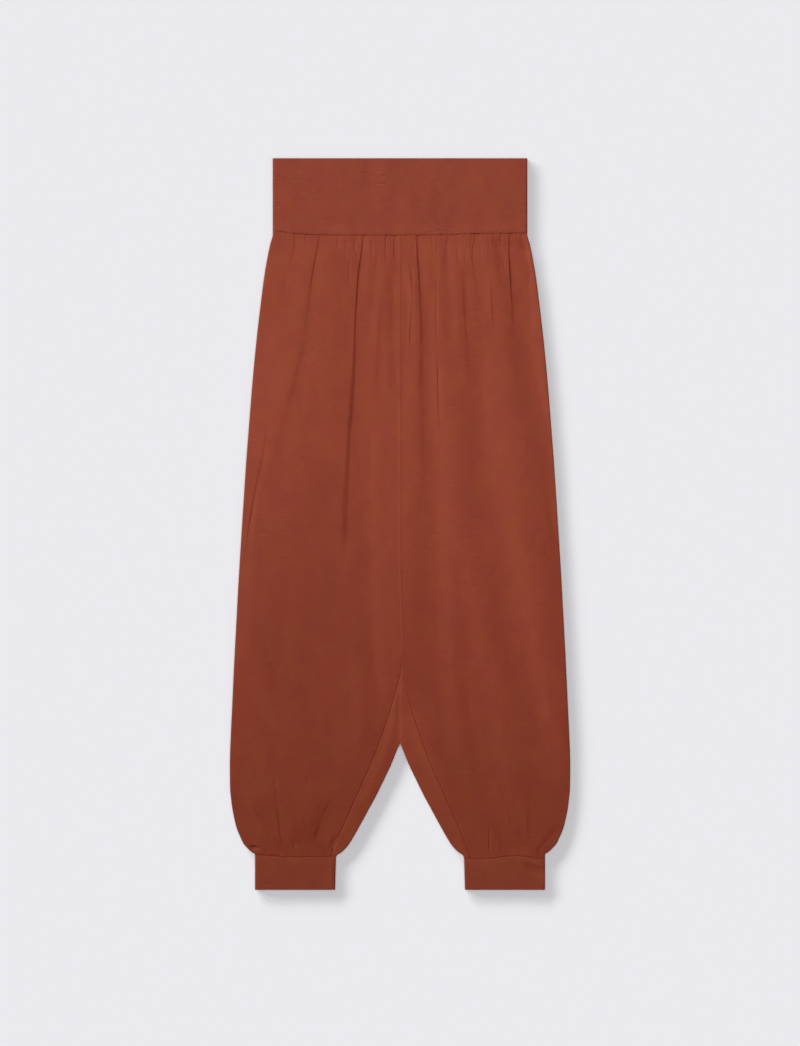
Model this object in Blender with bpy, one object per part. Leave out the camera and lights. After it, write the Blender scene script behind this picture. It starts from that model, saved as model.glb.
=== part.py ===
"""Harem pants in plain jersey, laid flat on a surface with the front up.

Lengths are in metres. +X is the wearer's left, +Y points to the waist and +Z up from the surface.
The origin is on the surface, in the middle of the garment's length and width.
A "drop" is a distance down the leg from the waistband seam.
"""

import math
from collections import namedtuple

import bmesh
import bpy
from mathutils import Vector

# Cut and outline.
WAIST_WIDTH = 0.356
WAISTBAND_DEPTH = 0.107
LEG_LENGTH = 0.869
CUFF_DEPTH = 0.048
CUFF_WIDTH = 0.114
CUFF_HEM_WIDTH = 0.111
CUFF_MIDDLE = 0.1463  # from the centre line
FRONT_CROTCH_DROP = 0.605  # where the front centre seam forks into the two inseams
CROTCH_DROP = 0.711  # the fold between the legs

# Cloth.
WALL = 0.0012  # one layer, in the legs
DOUBLE_WALL = 0.0016  # two layers, in the waistband and the cuffs
EDGE_RADIUS = 0.0019  # of the roll where the front turns under to the back
SEAM_GAP = 0.0003
LOFT = 0.0013  # how far the front lies above its rolled edges
LOFT_REACH = 0.055  # from the rolled edge to the full loft
WAIST_REACH = 0.050  # from the waistband or cuff seam to the full loft
EDGE_CALM = 0.014  # folds die out this near a rolled edge

# Finish of the jersey. The bands lie smooth and the legs' loose cloth catches a little more light.
BAND_RUST = (0.235, 0.050, 0.028, 1.0)
LEG_RUST = (0.262, 0.055, 0.030, 1.0)
ROUGHNESS = 0.85

SEAM_Y = (LEG_LENGTH + CUFF_DEPTH - WAISTBAND_DEPTH) / 2  # the waistband seam's place on +Y

# How the legs' edges run, from the centre line.
Outline = namedtuple("Outline", "drop half_width")
OUTER_EDGE = (
    Outline(0.000, 0.1783),
    Outline(0.028, 0.1848),
    Outline(0.092, 0.1946),
    Outline(0.176, 0.2040),
    Outline(0.344, 0.2170),
    Outline(0.512, 0.2272),
    Outline(0.680, 0.2355),
    Outline(0.752, 0.2380),
    Outline(0.790, 0.2366),
    Outline(0.827, 0.2294),
    Outline(0.850, 0.2200),
    Outline(0.862, 0.2100),
    Outline(0.869, 0.2033),
)
INNER_FOLD = (
    Outline(0.711, 0.0000),
    Outline(0.764, 0.0240),
    Outline(0.806, 0.0448),
    Outline(0.848, 0.0686),
    Outline(0.862, 0.0800),
    Outline(0.869, 0.0893),
)
INSEAM = (
    Outline(0.605, 0.0000),
    Outline(0.640, 0.0068),
    Outline(0.680, 0.0188),
    Outline(0.715, 0.0300),
    Outline(0.750, 0.0455),
    Outline(0.806, 0.0720),
    Outline(0.869, 0.1000),
)

# Drops of the sections that the panels are lofted through.
UPPER_DROPS = (0.0, 0.010, 0.026, 0.050, 0.085, 0.130, 0.180, 0.235, 0.295, 0.355, 0.415, 0.475, 0.540)
FORK_DROPS = (0.605, 0.660)  # the back's sections beside the front's two inseams

# Below the crotch a back section rounds the inner fold and fans out to a place further up on the inseam.
Wrap = namedtuple("Wrap", "fold_drop seam_drop")
WRAPS = (
    Wrap(0.711, 0.6075),
    Wrap(0.733, 0.640),
    Wrap(0.755, 0.675),
    Wrap(0.776, 0.710),
    Wrap(0.796, 0.745),
    Wrap(0.815, 0.780),
    Wrap(0.832, 0.808),
    Wrap(0.846, 0.832),
    Wrap(0.858, 0.852),
    Wrap(0.869, 0.869),
)
FRONT_STRIPS = 26
BACK_STRIPS = 6
WRAP_STRIPS = 3
ROLL_STEPS = 3  # facets in a quarter turn

# The largest folds of the front. Each is a ridge (height above 0) or a trough (below 0) between two points.
Fold = namedtuple("Fold", "top_x top_drop end_x end_drop half_width height")
FOLDS = (
    # right front
    Fold(-0.053, -0.030, -0.080, 0.435, 0.012, -0.0017),
    Fold(-0.068, -0.030, -0.096, 0.450, 0.016, 0.0024),
    Fold(-0.116, -0.030, -0.168, 0.275, 0.012, -0.0015),
    Fold(-0.099, -0.030, -0.150, 0.300, 0.014, 0.0012),
    Fold(-0.138, -0.030, -0.186, 0.300, 0.012, 0.0014),
    Fold(-0.032, -0.030, -0.036, 0.240, 0.010, -0.0012),
    Fold(-0.036, 0.240, -0.022, 0.650, 0.018, 0.0014),
    Fold(-0.060, 0.500, -0.066, 0.700, 0.018, 0.0010),
    # left front
    Fold(0.026, -0.030, 0.031, 0.340, 0.010, -0.0017),
    Fold(0.038, -0.030, 0.042, 0.330, 0.011, 0.0015),
    Fold(0.053, 0.020, 0.056, 0.330, 0.010, -0.0012),
    Fold(0.070, -0.030, 0.078, 0.300, 0.014, 0.0014),
    Fold(0.088, 0.000, 0.100, 0.280, 0.012, -0.0014),
    Fold(0.108, -0.030, 0.116, 0.300, 0.014, 0.0012),
    Fold(0.127, -0.030, 0.131, 0.170, 0.010, -0.0012),
    Fold(0.152, -0.030, 0.173, 0.290, 0.013, -0.0019),
    Fold(0.058, 0.300, 0.054, 0.620, 0.020, 0.0012),
    Fold(0.144, 0.200, 0.196, 0.680, 0.026, 0.0018),
    Fold(0.110, 0.430, 0.170, 0.720, 0.022, -0.0013),
    Fold(0.088, 0.480, 0.150, 0.800, 0.022, 0.0010),
    # above the right cuff
    Fold(-0.176, 0.730, -0.166, 0.890, 0.010, -0.0013),
    Fold(-0.096, 0.780, -0.122, 0.880, 0.012, -0.0015),
    Fold(-0.140, 0.760, -0.143, 0.890, 0.016, 0.0014),
    Fold(-0.206, 0.780, -0.184, 0.885, 0.012, 0.0012),
    # above the left cuff
    Fold(0.125, 0.800, 0.124, 0.890, 0.010, -0.0012),
    Fold(0.179, 0.780, 0.172, 0.890, 0.010, -0.0013),
    Fold(0.152, 0.770, 0.149, 0.890, 0.014, 0.0013),
    Fold(0.205, 0.790, 0.190, 0.890, 0.012, 0.0012),
)


def smooth_value(table, drop):
    """The half width at a drop, on a smooth curve through the table's rows that never overshoots them."""
    gaps = list(zip(table, table[1:]))
    slopes = [(b.half_width - a.half_width) / (b.drop - a.drop) for a, b in gaps]
    inner = [2 * a * b / (a + b) if a * b > 0 else 0.0 for a, b in zip(slopes, slopes[1:])]
    tangents = [slopes[0], *inner, slopes[-1]]
    place = min(max(drop, table[0].drop), table[-1].drop)
    row = next(k for k, (a, b) in enumerate(gaps) if place <= b.drop)
    start, end = gaps[row]
    span = end.drop - start.drop
    t = (place - start.drop) / span
    return (
        start.half_width * (1 + 2 * t) * (1 - t) ** 2
        + tangents[row] * span * t * (1 - t) ** 2
        + end.half_width * t * t * (3 - 2 * t)
        + tangents[row + 1] * span * t * t * (t - 1)
    )


def smoothstep(share):
    share = min(max(share, 0.0), 1.0)
    return share * share * (3 - 2 * share)


def outer_edge(drop):
    return smooth_value(OUTER_EDGE, drop)


def inner_fold(drop):
    return smooth_value(INNER_FOLD, drop)


def inseam(drop):
    return smooth_value(INSEAM, drop)


def y_of(drop):
    return SEAM_Y - drop


def edge_distance(x, drop):
    """How far a point of the front lies from the nearest rolled edge."""
    to_outer = outer_edge(drop) - abs(x)
    if drop < CROTCH_DROP:
        to_inner = math.hypot(x, CROTCH_DROP - drop)
    else:
        to_inner = abs(x) - inner_fold(drop)
    return max(min(to_outer, to_inner) - EDGE_RADIUS, 0.0)


def fold_relief(x, drop):
    """The height that the folds add at a point of the front."""
    total = 0.0
    for fold in FOLDS:
        along = (drop - fold.top_drop) / (fold.end_drop - fold.top_drop)
        if not 0 < along < 1:
            continue
        line_x = fold.top_x + along * (fold.end_x - fold.top_x)
        across = (x - line_x) / fold.half_width
        if abs(across) < 1:
            fade = smoothstep(along / 0.15) * smoothstep((1 - along) / 0.4)
            total += fold.height * fade * (1 + math.cos(math.pi * across)) / 2
    return total


def front_level(x, drop):
    """The height of the front's outer side above the surface."""
    distance = edge_distance(x, drop)
    share = min(distance / LOFT_REACH, 1.0)
    ends = smoothstep(drop / WAIST_REACH) * smoothstep((LEG_LENGTH - drop) / WAIST_REACH)
    loft = LOFT * share * (2 - share) * ends
    return 2 * EDGE_RADIUS + loft + fold_relief(x, drop) * smoothstep(distance / EDGE_CALM)


def rolled(side, edge_x, drop, angle, wall):
    """A point of a rolled edge and its way inwards. Angle 0 is on the surface and a half turn is on top."""
    away = Vector((side * math.sin(angle), 0.0, -math.cos(angle)))
    centre = Vector((edge_x - side * EDGE_RADIUS, y_of(drop), EDGE_RADIUS))
    return centre + EDGE_RADIUS * away, -wall * away


def on_front(x, drop, wall=WALL):
    return Vector((x, y_of(drop), front_level(x, drop))), Vector((0.0, 0.0, -wall))


def on_back(x, drop, wall=WALL):
    return Vector((x, y_of(drop), 0.0)), Vector((0.0, 0.0, wall))


def between(start, end, steps):
    """Values from start to end, both included."""
    return [start + (end - start) * k / steps for k in range(steps + 1)]


def add_wall(name, rows, colour, ring=False):
    """A closed wall from rows of (outer point, inward offset) spots. A row may be shorter than the next.

    The outer side is a grid of quads, which is then extruded inwards by each point's own offset.
    """
    shape = bmesh.new()
    inward = shape.verts.layers.float_vector.new("inward")
    grid = []
    for row in rows:
        verts = []
        for point, offset in row:
            vert = shape.verts.new(point)
            vert[inward] = offset
            verts.append(vert)
        grid.append(verts)
    for upper, lower in zip(grid, grid[1:]):
        shared = min(len(upper), len(lower))
        for k in range(shared if ring else shared - 1):
            near = (k + 1) % shared
            shape.faces.new((upper[k], upper[near], lower[near], lower[k]))
    extruded = bmesh.ops.extrude_face_region(shape, geom=shape.faces[:])
    for item in extruded["geom"]:
        if isinstance(item, bmesh.types.BMVert):
            item.co += Vector(item[inward])
    bmesh.ops.recalc_face_normals(shape, faces=shape.faces[:])
    shape.verts.layers.float_vector.remove(inward)
    mesh = bpy.data.meshes.new(name)
    shape.to_mesh(mesh)
    shape.free()
    mesh.materials.append(jersey(name, colour))
    mesh.shade_smooth()
    mesh.set_sharp_from_angle(angle=math.radians(50))
    obj = bpy.data.objects.new(name, mesh)
    bpy.context.scene.collection.objects.link(obj)
    return obj


def add_front_leg(name, side):
    """A front panel, from the outseam on the rolled edge to the centre front seam or the inseam."""
    rows = []
    seam_half = math.asin(SEAM_GAP / 2 / EDGE_RADIUS)
    for drop in (*UPPER_DROPS, FRONT_CROTCH_DROP, *(wrap.seam_drop for wrap in WRAPS[1:])):
        row_drop = clear_of_bands(drop)
        edge = side * outer_edge(drop)
        row = [
            rolled(side, edge, row_drop, angle, WALL)
            for angle in between(math.pi / 2 + seam_half, math.pi, ROLL_STEPS)
        ]
        top_x = edge - side * EDGE_RADIUS
        seam_x = side * (SEAM_GAP / 2 if drop <= FRONT_CROTCH_DROP else inseam(drop) + 0.6 * SEAM_GAP)
        row += [on_front(x, row_drop) for x in between(top_x, seam_x, FRONT_STRIPS)[1:]]
        rows.append(row)
    return add_wall(name, rows, LEG_RUST)


def add_back_leg(name, side):
    """A back panel: flat on the surface, and below the crotch round the inner fold and up to the inseam."""
    rows = []
    seam_half = math.asin(SEAM_GAP / 2 / EDGE_RADIUS)
    wraps = {wrap.fold_drop: wrap for wrap in WRAPS}
    for drop in (*UPPER_DROPS, *FORK_DROPS, *wraps):
        row_drop = clear_of_bands(drop)
        edge = side * outer_edge(drop)
        row = [
            rolled(side, edge, row_drop, angle, WALL)
            for angle in between(math.pi / 2 - seam_half, 0.0, ROLL_STEPS)
        ]
        flat_start = edge - side * EDGE_RADIUS
        fold = side * (inner_fold(drop) + SEAM_GAP / 2)
        flat_end = fold + side * EDGE_RADIUS if drop > CROTCH_DROP else fold
        flat = between(flat_start, flat_end, BACK_STRIPS)[1:]
        if drop == CROTCH_DROP:
            row += [on_back(x, drop) for x in flat[:-1]]
            row += crotch_spots(flat_end)
        else:
            row += [on_back(x, row_drop) for x in flat]
        if drop > CROTCH_DROP:
            row += [
                rolled(-side, fold, row_drop, angle, WALL)
                for angle in between(0.0, math.pi, 2 * ROLL_STEPS)[1:]
            ]
            row += wrap_spots(side, flat_end, wraps[drop])
        rows.append(row)
    return add_wall(name, rows, LEG_RUST)


def clear_of_bands(drop):
    """A drop kept off the waistband's and the cuff's seams."""
    return min(max(drop, SEAM_GAP / 2), LEG_LENGTH - SEAM_GAP / 2)


def crotch_spots(x):
    """The centre back seam where it turns under the crotch, and up the centre line of the front."""
    centre_drop = CROTCH_DROP - EDGE_RADIUS
    spots = []
    for angle in between(0.0, math.pi, 2 * ROLL_STEPS):
        away = Vector((0.0, -math.sin(angle), -math.cos(angle)))
        centre = Vector((x, y_of(centre_drop), EDGE_RADIUS))
        spots.append((centre + EDGE_RADIUS * away, -WALL * away))
    return spots + [on_front(x, drop) for drop in between(centre_drop, WRAPS[0].seam_drop, WRAP_STRIPS)[1:]]


def wrap_spots(side, start_x, wrap):
    """The back panel's strip that lies on the front, from its fold to the inseam."""
    seam_x = side * (inseam(wrap.seam_drop) - 0.6 * SEAM_GAP)
    xs = between(start_x, seam_x, WRAP_STRIPS)
    drops = between(wrap.fold_drop, wrap.seam_drop, WRAP_STRIPS)
    return [on_front(x, clear_of_bands(drop)) for x, drop in zip(xs[1:], drops[1:])]


def add_band(name, middle, width, hem_width, top_drop, bottom_drop):
    """A flattened ring of doubled cloth, such as the waistband or a cuff."""
    rows = []
    for share in between(0.0, 1.0, 4):
        drop = top_drop + (bottom_drop - top_drop) * share
        half = (width + (hem_width - width) * share) / 2
        left, right = middle - half, middle + half
        flat = between(left + EDGE_RADIUS, right - EDGE_RADIUS, 6)
        row = [on_back(x, drop, DOUBLE_WALL) for x in flat]
        row += [
            rolled(1, right, drop, angle, DOUBLE_WALL)
            for angle in between(0.0, math.pi, 2 * ROLL_STEPS)[1:]
        ]
        for x in reversed(flat[1:-1]):
            row.append((Vector((x, y_of(drop), 2 * EDGE_RADIUS)), Vector((0.0, 0.0, -DOUBLE_WALL))))
        row += [
            rolled(-1, left, drop, angle, DOUBLE_WALL)
            for angle in between(math.pi, 0.0, 2 * ROLL_STEPS)[:-1]
        ]
        rows.append(row)
    return add_wall(name, rows, BAND_RUST, ring=True)


def jersey(name, colour):
    material = bpy.data.materials.new(name)
    material.use_nodes = True
    shader = material.node_tree.nodes["Principled BSDF"]
    shader.inputs["Base Color"].default_value = colour
    shader.inputs["Roughness"].default_value = ROUGHNESS
    shader.inputs["Metallic"].default_value = 0.0
    return material


def main():
    for obj in list(bpy.data.objects):
        bpy.data.objects.remove(obj)
    add_band("waistband", 0.0, WAIST_WIDTH, WAIST_WIDTH, -WAISTBAND_DEPTH, -SEAM_GAP / 2)
    for wearers, side in (("right", -1), ("left", 1)):
        add_front_leg(f"front_{wearers}_leg", side)
        add_back_leg(f"back_{wearers}_leg", side)
        add_band(
            f"{wearers}_cuff",
            side * CUFF_MIDDLE,
            CUFF_WIDTH,
            CUFF_HEM_WIDTH,
            LEG_LENGTH + SEAM_GAP / 2,
            LEG_LENGTH + CUFF_DEPTH,
        )


main()
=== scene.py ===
# %% [markdown]
# # Harem pants laid flat
#
# A pair of loose jersey trousers lies on a pale surface with its front up. The maker's pieces are a wide
# doubled waistband, two front legs, two back legs and two doubled cuffs. The back legs are cut so wide that
# their inner edge wraps round to the front, and the inseam shows there.
#
# Cloth like this can be made in three ways: by a cloth simulation, by sculpting, or by moving the points of a
# grid with a formula. The folds of a laid garment are long, soft and in known places, so the formula gives
# the most control. Every panel is a grid whose points are moved to their place on the garment, and is then
# given its thickness.

# %% The frame
import math
from collections import namedtuple

import bpy
import numpy as np
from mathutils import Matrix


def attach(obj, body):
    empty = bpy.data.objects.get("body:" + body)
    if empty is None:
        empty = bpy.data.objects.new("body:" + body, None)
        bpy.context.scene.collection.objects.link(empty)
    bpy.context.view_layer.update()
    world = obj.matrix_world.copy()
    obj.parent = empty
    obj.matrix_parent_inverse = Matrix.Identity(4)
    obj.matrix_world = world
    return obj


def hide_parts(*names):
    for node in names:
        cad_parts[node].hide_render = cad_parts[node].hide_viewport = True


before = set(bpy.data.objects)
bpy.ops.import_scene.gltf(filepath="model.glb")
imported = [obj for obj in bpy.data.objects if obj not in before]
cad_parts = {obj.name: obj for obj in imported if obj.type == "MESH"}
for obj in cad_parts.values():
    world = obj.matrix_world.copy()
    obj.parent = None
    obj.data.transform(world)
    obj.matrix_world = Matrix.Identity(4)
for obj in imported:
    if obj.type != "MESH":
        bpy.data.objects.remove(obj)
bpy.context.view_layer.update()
bpy.ops.object.select_all(action="DESELECT")
print("nodes:", ", ".join(sorted(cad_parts)))

# %% [markdown]
# ## The surface, the camera and the light
#
# The garment lies on a plain pale floor, and the camera looks straight down on it through a long lens, so the
# outline has hardly any perspective. Jersey is matt, so its folds only show where the light comes in at a
# slant: a soft key light stands on the upper left, and the pale sky of the world fills in the rest. Between
# its folds the cloth throws its own colour back on itself. A weak red glow from above stands for that.
#
# A catalogue lights its background by itself, so that it comes out pale. Light linking does that here. An
# overhead lamp lights only the floor, and so does a row of three low ones on the upper left, which draw the
# garment's soft shadow along its right and lower edges. A weak one on the far side gives the other edges a
# trace of shadow too.

# %% Floor
MM = 0.001
FLOOR_SIZE = 60.0
FLOOR_GAP = 0.15  # mm between the floor and the cloth's underside, so that the two don't coincide

bpy.ops.mesh.primitive_plane_add(size=FLOOR_SIZE, location=(0, 0, -FLOOR_GAP * MM))
floor = bpy.context.object
floor.name = "floor"
bpy.ops.object.select_all(action="DESELECT")
print("floor:", FLOOR_SIZE, "m wide")

# %% Camera
PICTURE_HEIGHT = 1046  # pixels
MM_PER_PIXEL = 1.4
GARMENT_TOP = 4.0  # mm above the floor, where the picture has its scale
PICTURE_MIDDLE = 1.47  # mm, how far the picture's middle is above the garment's
LENS = 85.0
SENSOR = 36.0  # the sensor's long side, which is the picture's height
FAR_LIMIT = 200.0  # metres, past the ends of the floor

camera_data = bpy.data.cameras.new("camera")
camera_data.lens = LENS
camera_data.sensor_width = SENSOR
camera = bpy.data.objects.new("camera", camera_data)
bpy.context.scene.collection.objects.link(camera)
bpy.context.scene.camera = camera
distance = PICTURE_HEIGHT * MM_PER_PIXEL * MM * LENS / SENSOR + GARMENT_TOP * MM
camera.location = (0, PICTURE_MIDDLE * MM, distance)
camera_data.clip_end = FAR_LIMIT
print("camera height:", round(distance, 3), "m")

# %% Light
# A lamp's height above the floor, its turn from the top towards the left and its softness are in degrees.
Lamp = namedtuple("Lamp", "name lights height turn strength softness colour", defaults=((1, 1, 1),))
LAMPS = (
    Lamp("key", "cloth", 30, 45, 3.57, 40),
    Lamp("glow", "cloth", 90, 0, 0.90, 120, (1.0, 0.14, 0.09)),
    Lamp("overhead", "floor", 90, 0, 2.39, 60),
    Lamp("far side", "floor", 40, 225, 0.37, 60),
    Lamp("low upper", "floor", 10.4, 27, 3.05, 8),
    Lamp("low middle", "floor", 10.4, 45, 3.05, 8),
    Lamp("low left", "floor", 10.4, 63, 3.05, 8),
)
SKY_STRENGTH = 0.16
SKY_COLOUR = (1.0, 0.88, 0.82, 1.0)  # of the light that it gives
SKY_SEEN = (0.83, 0.82, 0.86, 1.0)  # what the camera sees of it past the floor

lit = {name: bpy.data.collections.new(f"lit_{name}") for name in ("cloth", "floor")}
lit["floor"].objects.link(floor)
for lamp in LAMPS:
    sun = bpy.data.lights.new(lamp.name, "SUN")
    sun.energy = lamp.strength
    sun.color = lamp.colour
    sun.angle = math.radians(lamp.softness)
    sun_object = bpy.data.objects.new(lamp.name, sun)
    sun_object.rotation_euler = (math.radians(90 - lamp.height), 0, math.radians(180 + lamp.turn))
    bpy.context.scene.collection.objects.link(sun_object)
    sun_object.light_linking.receiver_collection = lit[lamp.lights]

world = bpy.data.worlds.new("studio")
bpy.context.scene.world = world
world.use_nodes = True
sky = world.node_tree
sky.nodes.clear()
path = sky.nodes.new("ShaderNodeLightPath")
either = sky.nodes.new("ShaderNodeMixShader")
sky.links.new(path.outputs["Is Camera Ray"], either.inputs[0])
for socket, colour, strength in ((1, SKY_COLOUR, SKY_STRENGTH), (2, SKY_SEEN, 1.0)):
    background = sky.nodes.new("ShaderNodeBackground")
    background.inputs["Color"].default_value = colour
    background.inputs["Strength"].default_value = strength
    sky.links.new(background.outputs[0], either.inputs[socket])
sky.links.new(either.outputs[0], sky.nodes.new("ShaderNodeOutputWorld").inputs[0])
bpy.context.scene.view_settings.view_transform = "Standard"
print("lamps:", ", ".join(f"{lamp.name} on the {lamp.lights}" for lamp in LAMPS))

# %% [markdown]
# ## Smooth lines through a few sizes
#
# A pattern cutter marks a few points and draws a smooth line through them. This helper does the same. It
# takes a table of places and values, and reads values off a curve that passes through each row and never
# swings past it, which keeps the outline free of bumps.


# %% A smooth line
def smooth(places, table):
    """Values at the places, on a smooth curve through the table's (place, value) rows."""
    at, value = np.array(table, float).T
    span = np.diff(at)
    slope = np.diff(value) / span
    before, after = slope[:-1], slope[1:]
    agree = before * after > 0
    inner = np.where(agree, 2 * before * after / np.where(agree, before + after, 1), 0)
    tangent = np.concatenate([slope[:1], inner, slope[-1:]])
    row = np.clip(np.searchsorted(at, places) - 1, 0, len(slope) - 1)
    t = np.clip((places - at[row]) / span[row], 0, 1)
    rise = t * t * (3 - 2 * t)
    leave = tangent[row] * span[row] * t * (1 - t) ** 2
    arrive = tangent[row + 1] * span[row] * t * t * (t - 1)
    return value[row] * (1 - rise) + value[row + 1] * rise + leave + arrive


def ease(share):
    """0 up to a share of 0 and 1 from a share of 1, with a smooth step between."""
    share = np.clip(share, 0, 1)
    return share * share * (3 - 2 * share)


# %% [markdown]
# ## The outline
#
# All sizes here are in millimetres. A *drop* is how far down the leg a place is from the waistband's seam.
# The legs balloon from the hips to the calf and are then drawn in to the cuffs. The crotch is very low, and
# the inseams start well above it, on the front. The seams of the bands are not quite straight: two tables
# tell how far they dip, and the rows of points on the legs follow them.

# %% Outline sizes
WAIST_Y = 405.0  # the waistband's seam above the garment's middle
LEG_LENGTH = 869.0
BAND_DEPTH = 107.0
BAND_HALF = 178.3
CUFF_DEPTH = 48.0
CUFF_MIDDLE = 146.4
EDGE_RISE = 2.4  # half the height of the roll where the front turns under to the back
EDGE_REACH = 1.4  # how wide that roll is: the cloth is pressed, so it is narrower than it is high
WAIST_DIP_REACH = 60.0  # how far down a leg the rows still follow the waistband's seam
CUFF_DIP_REACH = 40.0  # how far up a leg they follow the cuff's

OUTER_EDGE = (
    (0, 178.3), (2, 178.6), (6, 179.7), (11, 181.3), (22, 183.8), (39, 187.1), (62, 190.8), (95, 195.0),
    (151, 201.5), (207, 206.8), (263, 211.3), (319, 215.6), (375, 219.3), (431, 222.9), (487, 226.3),
    (543, 229.3), (599, 232.3), (655, 234.9), (711, 237.5), (742, 238.4), (758, 238.3), (775, 238.0),
    (792, 236.4), (803, 235.0), (814, 232.9), (826, 230.2), (834, 227.7), (842, 224.3), (848, 221.6),
    (854, 218.3), (859, 213.5), (862, 210.8), (865, 207.0), (867.4, 203.1), (880, 203.1),
)
INNER_FOLD = (
    (711, 0.0), (722, 4.4), (743, 12.9), (764, 22.9), (785, 33.2), (806, 44.6), (827, 56.0),
    (848, 68.0), (856, 73.4), (862, 78.9), (865, 82.2), (868, 87.0), (871, 89.4), (880, 89.8),
)
CENTRE_LINE = (
    (0, -1.0), (440, 0.2), (520, 1.6), (575, 4.2), (606, 4.1), (640, 2.7), (680, 1.2), (700, 0.4), (711, 0.0),
)
INSEAMS = {
    "right": (
        (582, 4.2), (595, 3.4), (610, 1.4), (624, -1.4), (652, -9.3), (680, -17.8), (708, -27.6),
        (736, -38.4), (764, -50.6), (792, -63.2), (820, -75.8), (848, -88.0), (869, -96.5),
    ),
    "left": (
        (606, 4.3), (622, 6.6), (636, 9.4), (652, 13.2), (680, 21.6), (708, 31.2), (736, 41.6), (764, 53.6),
        (792, 66.0), (820, 78.4), (848, 90.2), (869, 98.2), (880, 100.0),
    ),
}
WAIST_SEAM_DIP = (
    (-178, -6.6), (-168, -4.6), (-150, -2.0), (-130, -0.7), (-98, 0.2), (-30, 0.5), (42, 0.1),
    (80, -0.9), (110, -1.9), (178, -2.6),
)
CUFF_SEAM_DIP = {
    "right": ((-203, -0.8), (-177, 0.6), (-159, 2.4), (-132, 2.4), (-90, 1.6)),
    "left": ((90, 4.6), (112, 5.4), (131, 4.3), (148, 1.6), (167, 1.0), (184, 3.2), (203, 6.5)),
}
CROTCH_DROP = INNER_FOLD[0][0]
SIDES = {"right": -1, "left": 1}


def waist_dip(x):
    """How far the waistband's seam dips at x."""
    return smooth(x, WAIST_SEAM_DIP)


def cuff_dip(side, x):
    """How far a cuff's seam dips at x."""
    return smooth(x, CUFF_SEAM_DIP[side])


def follow_seams(side, x, drop):
    """Drops moved so that the first row lies on the waistband's seam and the last on the cuff's."""
    at_waist = waist_dip(x) * ease(1 - drop / WAIST_DIP_REACH)
    at_cuff = cuff_dip(side, x) * ease(1 - (LEG_LENGTH - drop) / CUFF_DIP_REACH)
    return drop + at_waist + at_cuff


def edge_distance(side, drop, table):
    """An edge's distance from the middle. Its table is in drops that are measured straight down."""
    near = SIDES[side] * smooth(drop, table)
    return smooth(follow_seams(side, near, drop), table)


def outer_edge(side, drop):
    return edge_distance(side, drop, OUTER_EDGE)


def inner_fold(side, drop):
    return edge_distance(side, drop, INNER_FOLD)


widest_drop, half_width = max(OUTER_EDGE, key=lambda row: row[1])
print("widest:", 2 * half_width, "mm at a drop of", widest_drop, "mm")

# %% [markdown]
# ## How the front lies
#
# One function gives the height of the cloth's upper side anywhere on the front, so the folds run on over the
# seams. The height is made of layers: the loft of the cloth above its rolled edges, the folds, the small
# puckers that the gathering threads make, and a faint ripple that no laid cloth is free of.
#
# A fold is a ridge along a line down the leg, or a trough where its height is below zero. It is a table of
# rows, and each row tells how far down it is, where the line is, how wide its flanks towards -X and +X are,
# and how high it stands. A pleat has one steep flank and one long, gentle one, so the two differ.
#
# The folds have names, because that is how a maker finds one again to change it. They come in groups: pleats
# that hang from the waist's seam, short lines on the legs, the broad rolls and hollows between them, the
# folds above the cuffs, and two on the strips of the back legs. Left and right are the wearer's, so left is
# +X.

# %% Folds that hang from the waist
WAIST_START = -5.0  # under the band, where the folds from the waist begin
WAIST_SHARE = 0.75  # the share of its first height that a fold has there


def from_the_waist(rows):
    """A fold's rows with one more before them, where it comes out from under the band."""
    _, middle, minus_flank, plus_flank, height = rows[0]
    return ((WAIST_START, middle, minus_flank, plus_flank, WAIST_SHARE * height), *rows)


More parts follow.
